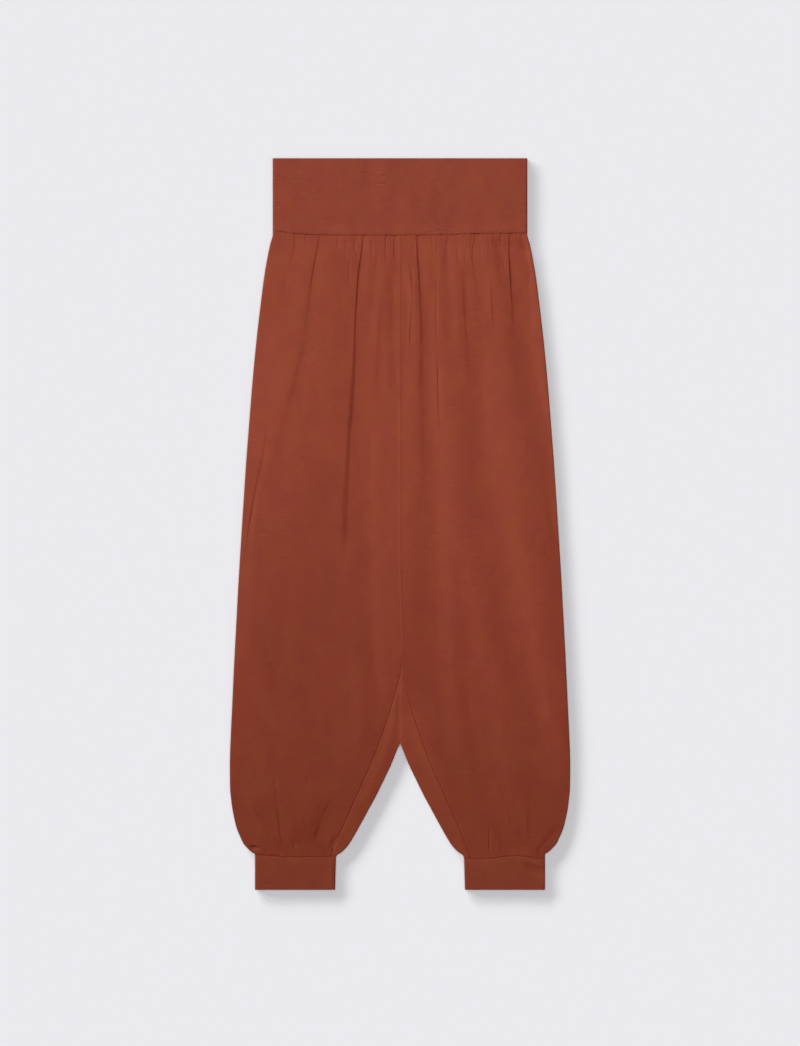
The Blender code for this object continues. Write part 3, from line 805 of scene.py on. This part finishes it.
def thicken(sheet, thickness):
    """Gives a sheet its thickness, on the side that its faces point away from."""
    bpy.ops.object.select_all(action="DESELECT")
    sheet.select_set(True)
    bpy.context.view_layer.objects.active = sheet
    solid = sheet.modifiers.new("thickness", "SOLIDIFY")
    solid.thickness = thickness * MM
    solid.offset = -1
    solid.use_rim = True
    bpy.ops.object.modifier_apply(modifier=solid.name)
    bpy.ops.object.shade_smooth_by_angle(angle=math.radians(SMOOTH_UP_TO))


def tell(sheet):
    """Prints a piece's size and its number of triangles."""
    size = np.ptp(points_of(sheet), axis=0) / MM
    triangles = sum(len(face.vertices) - 2 for face in sheet.data.polygons)
    print(sheet.name, "is", " x ".join(f"{v:.1f}" for v in size), "mm,", triangles, "triangles")


# %% [markdown]
# ## Jersey
#
# The cloth is a fine single jersey in rust. Close up it is rows of small V-shaped loops, which a bump map
# draws from the object's own coordinates: wales run down the leg and courses across it. The yarn is a little
# uneven, so short thin streaks lie along the courses. From further off the cloth is matt, with a soft sheen
# from its fine fuzz, and its colour wanders a little. Painted shade darkens it towards the ankles, and a
# little more on the wearer's right leg, as if less light fell there.


# %% Shader sums
class Wire:
    """One output of a node. Sums on wires add their Math nodes."""

    def __init__(self, tree, socket):
        self.tree, self.socket = tree, socket

    def node(self, kind, settings=None, output=0, **inputs):
        made = self.tree.nodes.new(kind)
        for key, value in (settings or {}).items():
            setattr(made, key, value)
        for key, value in inputs.items():
            place = int(key[1:]) if key[0] == "_" and key[1:].isdigit() else key.replace("_", " ")
            if isinstance(value, Wire):
                self.tree.links.new(value.socket, made.inputs[place])
            else:
                made.inputs[place].default_value = value
        return Wire(self.tree, made.outputs[output])

    def maths(self, operation, *values):
        inputs = {f"_{k}": value for k, value in enumerate(values)}
        return self.node("ShaderNodeMath", {"operation": operation}, **inputs)

    def __add__(self, other):
        return self.maths("ADD", self, other)

    def __sub__(self, other):
        return self.maths("SUBTRACT", self, other)

    def __rsub__(self, other):
        return self.maths("SUBTRACT", other, self)

    def __mul__(self, other):
        return self.maths("MULTIPLY", self, other)

    __radd__ = __add__
    __rmul__ = __mul__

    def clip(self, low, high):
        """0 below low and 1 above high, with a smooth step between."""
        return self.node(
            "ShaderNodeMapRange",
            {"interpolation_type": "SMOOTHSTEP"},
            Value=self,
            From_Min=low,
            From_Max=high,
        )


# %% The jersey material
WALE = 1.15  # mm from one column of loops to the next
COURSE = 0.85  # mm from one row of loops to the next
LOOP_SLANT = 0.75  # how far the two sides of a loop slant, in rows of loops
LOOP_HEIGHT, FUZZ_HEIGHT, SLUB_HEIGHT = 0.09, 0.06, 0.08  # mm
COTTON = {
    "Roughness": 0.86,
    "Specular IOR Level": 0.15,
    "Sheen Weight": 0.12,
    "Sheen Roughness": 0.45,
    "Sheen Tint": (1.0, 0.55, 0.38, 1.0),
}
REDDER = (0.985, 0.935, 1.02, 1.0)
YELLOWER = (1.015, 1.065, 0.98, 1.0)
PAINTED_SHADE_TOWARDS_ANKLES = (  # painted shade: how much of the full colour shows at a place along the garment in metres, darker towards the ankles
    (0.50, (1.00, 1.00, 1.00)),
    (0.10, (1.00, 1.00, 1.00)),
    (-0.10, (0.915, 0.865, 0.855)),
    (-0.24, (0.855, 0.79, 0.77)),
    (-0.40, (0.70, 0.62, 0.57)),
    (-0.51, (0.70, 0.63, 0.60)),
)


def new_material(name, sockets):
    """A material and its shader, with these values on the shader's sockets."""
    material = bpy.data.materials.new(name)
    material.use_nodes = True
    shader = material.node_tree.nodes["Principled BSDF"]
    for socket, value in sockets.items():
        shader.inputs[socket].default_value = value
    return material, shader


def jersey(name, colour, slub=0.12):
    """Rust jersey. The colour is what the waist end shows, and slub is how strongly the streaks show."""
    material, shader = new_material(name, COTTON)
    tree = material.node_tree
    start = Wire(tree, tree.nodes.new("ShaderNodeTexCoord").outputs["Object"])
    parts = tree.nodes.new("ShaderNodeSeparateXYZ")
    tree.links.new(start.socket, parts.inputs[0])
    x, y = Wire(tree, parts.outputs["X"]), Wire(tree, parts.outputs["Y"])

    def noise(stretch, scale, detail, low, high):
        """Soft patches: 0 where the noise is under low, and 1 where it is over high."""
        place = start.node("ShaderNodeMapping", None, 0, Vector=start, Scale=stretch)
        grain = start.node("ShaderNodeTexNoise", None, 0, Vector=place, Scale=scale, Detail=detail)
        return grain.clip(low, high)

    hue_drift = noise((1.0, 0.7, 1.0), 55.0, 4.0, 0.32, 0.68)
    wander = noise((1.0, 0.55, 1.0), 26.0, 3.0, 0.30, 0.70)
    patch = noise((1.0, 1.0, 1.0), 14.0, 2.0, 0.42, 0.62)
    pale_slub = noise((0.10, 1.0, 1.0), 620.0, 1.0, 0.60, 0.72) * patch
    dark_slub = noise((0.12, 1.0, 1.0), 520.0, 1.0, 0.62, 0.74) * patch
    fuzz = noise((1.0, 1.0, 1.0), 900.0, 2.0, 0.25, 0.75)

    # painted shade: this ramp darkens the colour towards the ankles, as if less light reached them
    ramp = tree.nodes.new("ShaderNodeValToRGB")
    ends = (PAINTED_SHADE_TOWARDS_ANKLES[-1][0], PAINTED_SHADE_TOWARDS_ANKLES[0][0])
    along = (y - ends[0]) * (1 / (ends[1] - ends[0]))
    tree.links.new(along.socket, ramp.inputs[0])
    ramp.color_ramp.interpolation = "B_SPLINE"
    stops = ramp.color_ramp.elements
    while len(stops) < len(PAINTED_SHADE_TOWARDS_ANKLES):
        stops.new(0.5)
    for stop, (place, share) in zip(stops, reversed(PAINTED_SHADE_TOWARDS_ANKLES)):
        stop.position = (place - ends[0]) / (ends[1] - ends[0])
        stop.color = (*(c * s for c, s in zip(colour, share)), 1.0)

    # painted shade: the wearer's right leg is a little darker half way down, and again low down, as if less
    # light fell there
    half_way = (0.12 - y).clip(0.0, 0.16) * (y + 0.36).clip(0.0, 0.22)
    low_down = (-0.28 - y).clip(0.0, 0.10)
    right_side = 1 - (x + 0.12).clip(0.0, 0.24)
    painted_shade = 1 - (0.080 * half_way + 0.035 * low_down) * right_side
    tone = (0.94 + 0.06 * wander + slub * (pale_slub - dark_slub) + 0.05 * fuzz) * painted_shade
    hue = start.node("ShaderNodeMix", {"data_type": "RGBA"}, 2, _0=hue_drift, _6=REDDER, _7=YELLOWER)
    tinted = start.node(
        "ShaderNodeVectorMath", {"operation": "MULTIPLY"}, 0, _0=Wire(tree, ramp.outputs[0]), _1=hue
    )
    dyed = start.node("ShaderNodeVectorMath", {"operation": "SCALE"}, 0, _0=tinted, Scale=tone)
    tree.links.new(dyed.socket, shader.inputs["Base Color"])

    column = start.maths("PINGPONG", x * (1 / (WALE * MM)), 0.5) * 2
    row = (y * (1 / (COURSE * MM)) + column * LOOP_SLANT) * (2 * math.pi)
    loops = start.maths("SINE", row) * 0.5 + start.maths("SINE", column * math.pi) * 0.5
    surface = loops * (LOOP_HEIGHT * MM) + fuzz * (FUZZ_HEIGHT * MM) + pale_slub * (SLUB_HEIGHT * MM)
    bump = start.node("ShaderNodeBump", None, 0, Strength=0.7, Distance=1.0, Height=surface)
    tree.links.new(bump.socket, shader.inputs["Normal"])
    return material


BAND_JERSEY = jersey("waistband_jersey", (0.2608, 0.0694, 0.0370), slub=0.20)
LEG_JERSEY = jersey("leg_jersey", (0.2705, 0.0706, 0.0363))
WRAP_JERSEY = jersey("back_leg_jersey", (0.2935, 0.0806, 0.0404))
CUFF_JERSEY = jersey("cuff_jersey", (0.2775, 0.0778, 0.0404))

PAPER = {"Base Color": (0.545, 0.547, 0.572, 1.0), "Roughness": 1.0, "Specular IOR Level": 0.0}
floor.data.materials.append(new_material("pale_floor", PAPER)[0])


def finish_piece(piece, material, node):
    """Gives a piece its cloth, its light and its place in the frame."""
    piece.data.materials.append(material)
    lit["cloth"].objects.link(piece)
    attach(piece, "root")
    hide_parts(node)
    tell(piece)


# %% [markdown]
# ## Front legs
#
# A front leg runs from the outseam, on the garment's edge, to the centre front seam, and below the fork to
# the inseam. Its first columns of points go round the rolled edge, and the rest follow the height of the
# front. At each seam the cloth turns down into the seam, so the last millimetre or two dips, and the points
# are set closer together there. They also stand closer on the steep flanks of folds.

# %% Columns that crowd together
SAMPLES = 1200  # places across a row where the wanted density is worked out
SEAM_CROWD = 3.0  # what the inner seam adds to the usual density, which is 1
FLANK_CROWD = 5.0  # and what a fold's flank of 1 mm adds; a wider flank adds less
CROWDED_HEIGHT = 0.3  # the height of a fold that gets that much
MOST_CROWD = 1.3  # the most that a higher fold gets, as a share of it
STEEP_FLANK = 2.5  # flanks up to this width get all of it
WIDE_FLANK = 6.5  # and flanks from this width none
CROWD_START = 8.0  # the length over which it begins and ends along a fold


def crowd(drops, start, end, folds, columns):
    """Shares across each row. Columns stand close together on steep flanks and along the seam."""
    share = np.linspace(0, 1, SAMPLES)
    x = start[:, None] + (end - start)[:, None] * share
    density = 1 + SEAM_CROWD * np.exp(-np.abs(end[:, None] - x))
    for rows in folds:
        middle, minus_flank, plus_flank, height = read_fold(rows, drops)
        begun = ease((drops - rows[0][0]) / CROWD_START + 0.5)
        here = begun * ease((rows[-1][0] - drops) / CROWD_START + 0.5)
        strength = here * np.minimum(np.abs(height) / CROWDED_HEIGHT, MOST_CROWD)
        for way, flank in ((-1, minus_flank), (1, plus_flank)):
            steep = strength * ease((WIDE_FLANK - flank) / (WIDE_FLANK - STEEP_FLANK))
            at = middle + way * flank / 2
            near = (x - at[:, None]) / (0.8 * flank[:, None])
            density += (steep * FLANK_CROWD / flank)[:, None] * np.exp(-near * near)
    total = np.cumsum(density, 1)
    total = (total - total[:, :1]) / (total[:, -1:] - total[:, :1])
    wanted = np.linspace(0, 1, columns + 1)
    return np.array([np.interp(wanted, row, share) for row in total])


# %% Cloth that turns down into its seams
# Each of these is how far from its seam the cloth begins to turn down, and how deep it goes.
WAIST_TURN = (0.6, 0.17)
CUFF_TURN = (0.8, 0.6)
STRIP_CUFF_TURN = (0.8, 0.7)
CENTRE_TURN = (0.4, 0.10)
INSEAM_TURN = {  # how much wider and deeper it is at the inseam, the drop where that begins and its length
    "right": (0.4, 0.45, 570, 40),
    "left": (0.6, 0.95, 618, 60),
}


def turn_down(distance, reach, depth):
    """How far cloth turns down at a distance from its seam."""
    return depth * np.exp(-((np.maximum(distance, 0) / reach) ** 2))


def turn_down_inside(side, distance, drop, depth):
    """How far cloth turns down beside the centre seam, and further beside the inseam below the fork."""
    wider, deeper, first, length = INSEAM_TURN[side]
    sewn = ease((drop - first) / length)
    return turn_down(distance, CENTRE_TURN[0] + wider * sewn, depth + deeper * sewn)


# %% Front panels
ROLL_COLUMNS = 6  # on the outer roll
CLOTH = 0.75  # mm thick
ROW_PLACES = (
    (0, 0), (0.035, 1.5), (0.15, 20), (0.34, 95), (0.50, 280), (0.72, 735), (0.84, 842), (0.98, 867),
    (1, 869),
)


def inner_seam(side, drop):
    """Where a front leg ends: on the centre line, and on the inseam below the fork."""
    table = INSEAMS[side]
    inseam = smooth(follow_seams(side, smooth(drop, table), drop), table)
    return np.where(drop < table[0][0], smooth(drop, CENTRE_LINE), inseam)


def front_leg(side, columns=290, rows=160):
    """Lays and thickens one front leg, with its roll at the outseam."""
    sign = SIDES[side]
    drops = smooth(np.linspace(0, 1, rows + 1), ROW_PLACES)
    starts = sign * (outer_edge(side, drops) - EDGE_REACH)
    ends = inner_seam(side, drops)
    folds = (*FOLDS, *WAIST_GATHERS, *CUFF_GATHERS[side])
    shares = crowd(drops, starts, ends, folds, columns - ROLL_COLUMNS)
    edge_tops = front_height(side, starts, drops)

    def place(across, down):
        row = np.round(down * rows).astype(int)
        column = np.round(across * columns).astype(int)
        drop = drops[row]
        turn = np.pi / 2 * (1 + np.minimum(column / ROLL_COLUMNS, 1))
        roll_x = starts[row] + sign * EDGE_REACH * np.sin(turn)
        roll_z = EDGE_RISE - (edge_tops[row] - EDGE_RISE) * np.cos(turn)
        share = shares[row, np.maximum(column - ROLL_COLUMNS, 0)]
        x = starts[row] + (ends[row] - starts[row]) * share
        z = front_height(side, x, drop) - turn_down_inside(side, np.abs(x - ends[row]), drop, CENTRE_TURN[1])
        z -= turn_down(drop, *WAIST_TURN) + turn_down(LEG_LENGTH - drop, *CUFF_TURN)
        y = WAIST_Y - follow_seams(side, x, drop)
        on_roll = column < ROLL_COLUMNS
        return np.where(on_roll, roll_x, x), y, np.where(on_roll, roll_z, z)

    panel = lay_sheet(f"front_{side}_leg_cloth", columns, rows, place, mirror=sign > 0)
    thicken(panel, CLOTH)
    return panel


fronts = {side: front_leg(side) for side in SIDES}
for side, panel in fronts.items():
    finish_piece(panel, LEG_JERSEY, f"front_{side}_leg")

# %% [markdown]
# ## Back legs
#
# A back leg lies flat on the surface. Below the crotch it rounds the inner fold and comes up on the front as
# a narrow strip that ends at the inseam. Its rows of points fan out there: the first of them turns up at the
# crotch and follows the centre line to the fork, and the last stays on the cuff's seam. Above the crotch the
# panel ends at the centre back seam, so the grid's spare corner is deleted.

# %% The parts of a back leg
FLAT_COLUMNS = 56  # on the flat of the back
FOLD_COLUMNS = 8  # round the fold between the legs
STRIP_COLUMNS = 24  # across the strip on the front
CALM_SHARE = 3 / FLAT_COLUMNS  # the share of the flat back, beside the fold, where its own folds die out
STRIP_CROWD, STRIP_CROWD_REACH = 0.6, 0.02  # how closely the strip's columns crowd along the inseam
CROTCH_ROW = 0.68  # the share of the rows that lie above the crotch
BACK_ROWS = (
    (0, 0), (0.04, 5), (0.12, 22), (0.30, 110), (0.60, 600), (CROTCH_ROW, CROTCH_DROP), (0.90, 830), (1, 869),
)
CROTCH_REACH = 14.0  # how far down the legs' inner fold still turns into the crotch's edge
FAN_REACH = 1 / 14  # the share of the strip, from the crotch on, whose rows still follow the centre line
BACK_LIFT = 0.6  # how strongly the folds of the front show on the back, mirrored
MOST_LIFT = 2.0  # how much of a fold's height counts there at most
BACK_CALM = 10.0  # how far in from the outer edge the back's folds have their height
BACK_SEAM_CALM = 8.0  # and how far from the seams
GAP = 0.25  # what is left at least between the back's lifted cloth and the front


def back_height(side, x, drop):
    """The height of the back's under side: flat on the surface, with folds that lift a little off it."""
    lift = -sum(fold_height(rows, -x, drop) for rows in (*FOLDS, *WAIST_GATHERS))
    from_edge = np.maximum(outer_edge(side, drop) - np.abs(x) - EDGE_REACH, 0)
    from_seams = ease(drop / BACK_SEAM_CALM) * ease((LEG_LENGTH - drop) / BACK_SEAM_CALM)
    lift = BACK_LIFT * np.clip(lift, 0, MOST_LIFT) * ease(from_edge / BACK_CALM) * from_seams
    free = front_height(side, x, drop) - 2 * CLOTH - GAP
    return np.minimum(lift, np.maximum(free, 0))


def outer_roll(side, drop, share):
    """The cloth round the outer edge, from the outseam down to the surface, as its x, drop and z."""
    turn = np.pi / 2 * (1 - share)
    x = SIDES[side] * (outer_edge(side, drop) - EDGE_REACH * (1 - np.sin(turn)))
    return x, drop, EDGE_RISE * (1 - np.cos(turn))


def flat_back(side, drop, last, at_crotch, share):
    """The flat of the back, out to the fold between the legs."""
    first = SIDES[side] * (outer_edge(side, drop) - EDGE_REACH)
    x = first + (last - first) * share
    z = back_height(side, x, drop) * ease((1 - share) / CALM_SHARE)
    return x, drop - EDGE_REACH * at_crotch * share**8, z


def leg_fold(side, drop, last, at_crotch, share):
    """The fold between the legs, which turns from the legs' inner edge into the crotch's lower edge."""
    turn = np.pi * share
    bulge = EDGE_REACH * np.sin(turn)
    x = last - SIDES[side] * bulge * (1 - at_crotch)
    there = drop - at_crotch * (EDGE_REACH - bulge)
    rise = np.where(share < 0.5, EDGE_RISE, front_height(side, last, there) - EDGE_RISE)
    return x, there, EDGE_RISE - rise * np.cos(turn)


def strip(side, drop, last, at_crotch, share):
    """The strip on the front, from the fold to the inseam. Its rows fan out from the crotch."""
    left = 1 - share
    share = 1 - left * (1 - STRIP_CROWD * np.exp(-left / STRIP_CROWD_REACH))
    fork_drop = INSEAMS[side][0][0]
    fan = np.clip((drop - CROTCH_DROP) / (LEG_LENGTH - CROTCH_DROP), 0, 1)
    seam_drop = fork_drop + (LEG_LENGTH - fork_drop) * fan
    seam_x = inner_seam(side, seam_drop)
    start_drop = drop - at_crotch * EDGE_REACH
    there = start_drop + (seam_drop - start_drop) * share
    straight = last + (seam_x - last) * share
    off_centre = seam_x - smooth(seam_drop, CENTRE_LINE)
    centred = smooth(there, CENTRE_LINE) + off_centre * share**4
    on_centre = ease(1 - fan / FAN_REACH)
    x = straight * (1 - on_centre) + centred * on_centre
    to_seam = np.hypot(seam_x - x, seam_drop - there)
    z = front_height(side, x, there) - turn_down_inside(side, to_seam, seam_drop, 0)
    return x, there, z - turn_down(LEG_LENGTH - there, *STRIP_CUFF_TURN)


# %% Back panels
def delete_faces(sheet, chosen):
    """Deletes the faces for which chosen is true."""
    bpy.ops.object.mode_set(mode="EDIT")
    bpy.ops.mesh.select_mode(type="FACE")
    bpy.ops.mesh.select_all(action="DESELECT")
    bpy.ops.object.mode_set(mode="OBJECT")
    sheet.data.polygons.foreach_set("select", chosen)
    bpy.ops.object.mode_set(mode="EDIT")
    bpy.ops.mesh.delete(type="FACE")
    bpy.ops.object.mode_set(mode="OBJECT")


def back_leg(side, rows=250):
    """Lays and thickens one back leg: its outer roll, its flat, the fold and the strip on the front."""
    sign = SIDES[side]
    fold_start = ROLL_COLUMNS + FLAT_COLUMNS
    strip_start = fold_start + FOLD_COLUMNS
    columns = strip_start + STRIP_COLUMNS
    crotch_row = round(CROTCH_ROW * rows)

    def place(across, down):
        column = (1 - across) * columns
        drop = smooth(down, BACK_ROWS)
        below = down * rows >= crotch_row - 0.5
        at_crotch = ease(1 - (drop - CROTCH_DROP) / CROTCH_REACH) * below
        inner = np.where(below, sign * inner_fold(side, drop), smooth(drop, CENTRE_LINE))
        last = inner + sign * EDGE_REACH * (1 - at_crotch) * below

        def share(start, end):
            return np.clip((column - start) / (end - start), 0, 1)

        parts = (
            outer_roll(side, drop, share(0, ROLL_COLUMNS)),
            flat_back(side, drop, last, at_crotch, share(ROLL_COLUMNS, fold_start)),
            leg_fold(side, drop, last, at_crotch, share(fold_start, strip_start)),
            strip(side, drop, last, at_crotch, share(strip_start, columns)),
        )
        where = (column < ROLL_COLUMNS, column <= fold_start, column <= strip_start)
        x, there, z = (np.select(where, values[:3], values[3]) for values in zip(*parts))
        return x, WAIST_Y - follow_seams(side, x, there), z

    panel = lay_sheet(f"back_{side}_leg_cloth", columns, rows, place, mirror=sign > 0)
    # the spare corner is the strip and the fold above the crotch
    grid_row, grid_column = np.divmod(np.arange(rows * columns), columns)
    from_outseam = grid_column if sign > 0 else columns - 1 - grid_column
    delete_faces(panel, (rows - 1 - grid_row < crotch_row) & (from_outseam >= fold_start))
    thicken(panel, CLOTH)
    return panel


backs = {side: back_leg(side) for side in SIDES}
for side, panel in backs.items():
    finish_piece(panel, WRAP_JERSEY, f"back_{side}_leg")

# %% [markdown]
# ## Waistband and cuffs
#
# Each band is a ring of doubled jersey that lies pressed flat. Its grid goes once round: along the back on
# the surface, round one rolled edge, along the front and round the other edge. The two ends of the grid are
# then merged. The band is thicker than a leg, and its folded hem is rounded with a bevel.


# %% Bands
BAND_CLOTH = 1.2  # mm thick
BAND_ROLL_COLUMNS = 10
BAND_CALM = 3.0  # how far in from a rolled edge the front has its relief
HEM_ROUNDING = 0.4  # how far the rounding of a rim reaches
HEM_ANGLE = 60.0  # degrees between two faces, past which their edge is rounded
BAND_CROWD, BAND_CROWD_REACH = 0.75, 0.05  # how closely a band's rows crowd beside its seam
MERGE_WITHIN = 0.01  # the distance at which the grid's two ends count as one


def crowd_down(down):
    """Shares from seam to hem that start closer together, beside the seam."""
    return down - BAND_CROWD * down * np.exp(-down / BAND_CROWD_REACH) * (1 - down)


def round_rims(ring):
    rounding = ring.modifiers.new("rounded rims", "BEVEL")
    rounding.width = HEM_ROUNDING * MM
    rounding.segments = 3
    rounding.limit_method = "ANGLE"
    rounding.angle_limit = math.radians(HEM_ANGLE)
    bpy.ops.object.modifier_apply(modifier=rounding.name)
    bpy.ops.object.shade_smooth_by_angle(angle=math.radians(HEM_ANGLE))


def band(name, middle, half_seam, half_hem, seam_y, hem_y, flat_columns, rows, relief, lean=0.0):
    """
    A flattened ring. relief(x, share) is its front's extra height, with share 0 at the seam and 1 at the hem.
    lean is how far the hem's middle is from the seam's.
    """
    once_across = flat_columns + BAND_ROLL_COLUMNS
    columns = 2 * once_across

    def place(across, down):
        column = np.round(across * columns) % columns
        front = column >= once_across
        way = np.where(front, -1, 1)  # the back runs towards +X and the front towards -X
        step = column % once_across
        turn = np.pi * np.maximum(step - flat_columns, 0) / BAND_ROLL_COLUMNS
        half = half_seam + (half_hem - half_seam) * down
        flat_x = (half - EDGE_REACH) * (2 * np.minimum(step / flat_columns, 1) - 1)
        x = way * (flat_x + EDGE_REACH * np.sin(turn))
        extra = relief(middle + x, crowd_down(down)) * ease((half - np.abs(x)) / BAND_CALM)
        z = EDGE_RISE * (1 - way * np.cos(turn)) + np.where(front & (step <= flat_columns), extra, 0)
        seam = seam_y(middle + x)
        y = seam + (hem_y - seam) * crowd_down(down)
        return middle + x + lean * down, y, z

    ring = lay_sheet(name, columns, rows, place, mirror=hem_y < 0)
    bpy.ops.object.mode_set(mode="EDIT")
    bpy.ops.mesh.select_all(action="SELECT")
    bpy.ops.mesh.remove_doubles(threshold=MERGE_WITHIN * MM)
    bpy.ops.object.mode_set(mode="OBJECT")
    thicken(ring, BAND_CLOTH)
    round_rims(ring)
    return ring


# %% Waistband
ALLOWANCE_LIFT = 0.55  # how much the seam allowance inside lifts the band
ALLOWANCE_WIDTH = 16.0
BAND_SWELL = 0.25  # how much the band swells between its seam and its hem
BAND_RIPPLE = 0.12
BAND_SWELL_START = 0.03  # the share of the band's depth over which the two begin
BAND_TURN = (0.7, 0.20)


def waistband_relief(x, share):
    """The seam allowance lifts the band along its seam, and the band swells a little between seam and hem."""
    drop = share * BAND_DEPTH
    allowance = ALLOWANCE_LIFT * ease(1 - (drop - 1) / ALLOWANCE_WIDTH)
    swell = BAND_SWELL * np.sin(np.pi * share) + BAND_RIPPLE * ripple(1.4 * x + 40, 2.2 * drop)
    return allowance + swell * ease(share / BAND_SWELL_START) - turn_down(drop, *BAND_TURN)


waistband = band(
    "waistband_cloth", 0.0, BAND_HALF, BAND_HALF,
    lambda x: WAIST_Y - waist_dip(x), WAIST_Y + BAND_DEPTH, 150, 56, waistband_relief,
)
finish_piece(waistband, BAND_JERSEY, "waistband")

# %% Cuffs
CUFF_HALF_SEAM = 56.7
CUFF_HALF_HEM = 56.1
CUFF_LEAN = 0.6
CUFF_RISE = 0.35  # how much higher a cuff is below its seam
CUFF_RISE_REACH = 10.0
CUFF_RIPPLE = 0.12
CUFF_SWELL_START = 0.06
CUFF_BAND_TURN = (0.7, 0.5)
INNER_CORD = ((868, -96.4, 1.8, 2.2, 0.40), (918, -95.8, 1.8, 2.2, 0.40))  # the right cuff's own short seam


def cuff_relief(side):
    """The function for a cuff's relief: it rises from its seam and has the wrinkles and its short seam."""

    def relief(x, share):
        drop = share * CUFF_DEPTH
        swell = CUFF_RIPPLE * ripple(0.8 * x, 3.0 * drop + 70 * SIDES[side])
        wrinkles = sum(swell_height(swell, x, LEG_LENGTH + drop) for swell in CUFF_SWELLS)
        cord = fold_height(INNER_CORD, x, LEG_LENGTH + drop)
        rise = CUFF_RISE * ease(drop / CUFF_RISE_REACH)
        rise = rise + (swell + wrinkles) * ease(share / CUFF_SWELL_START)
        return rise + cord - turn_down(drop, *CUFF_BAND_TURN)

    return relief


for side, sign in SIDES.items():
    cuff = band(
        f"{side}_cuff_cloth", sign * CUFF_MIDDLE, CUFF_HALF_SEAM, CUFF_HALF_HEM,
        lambda x, side=side: WAIST_Y - LEG_LENGTH - cuff_dip(side, x),
        WAIST_Y - LEG_LENGTH - CUFF_DEPTH, 80, 36, cuff_relief(side), lean=sign * CUFF_LEAN,
    )
    finish_piece(cuff, CUFF_JERSEY, f"{side}_cuff")
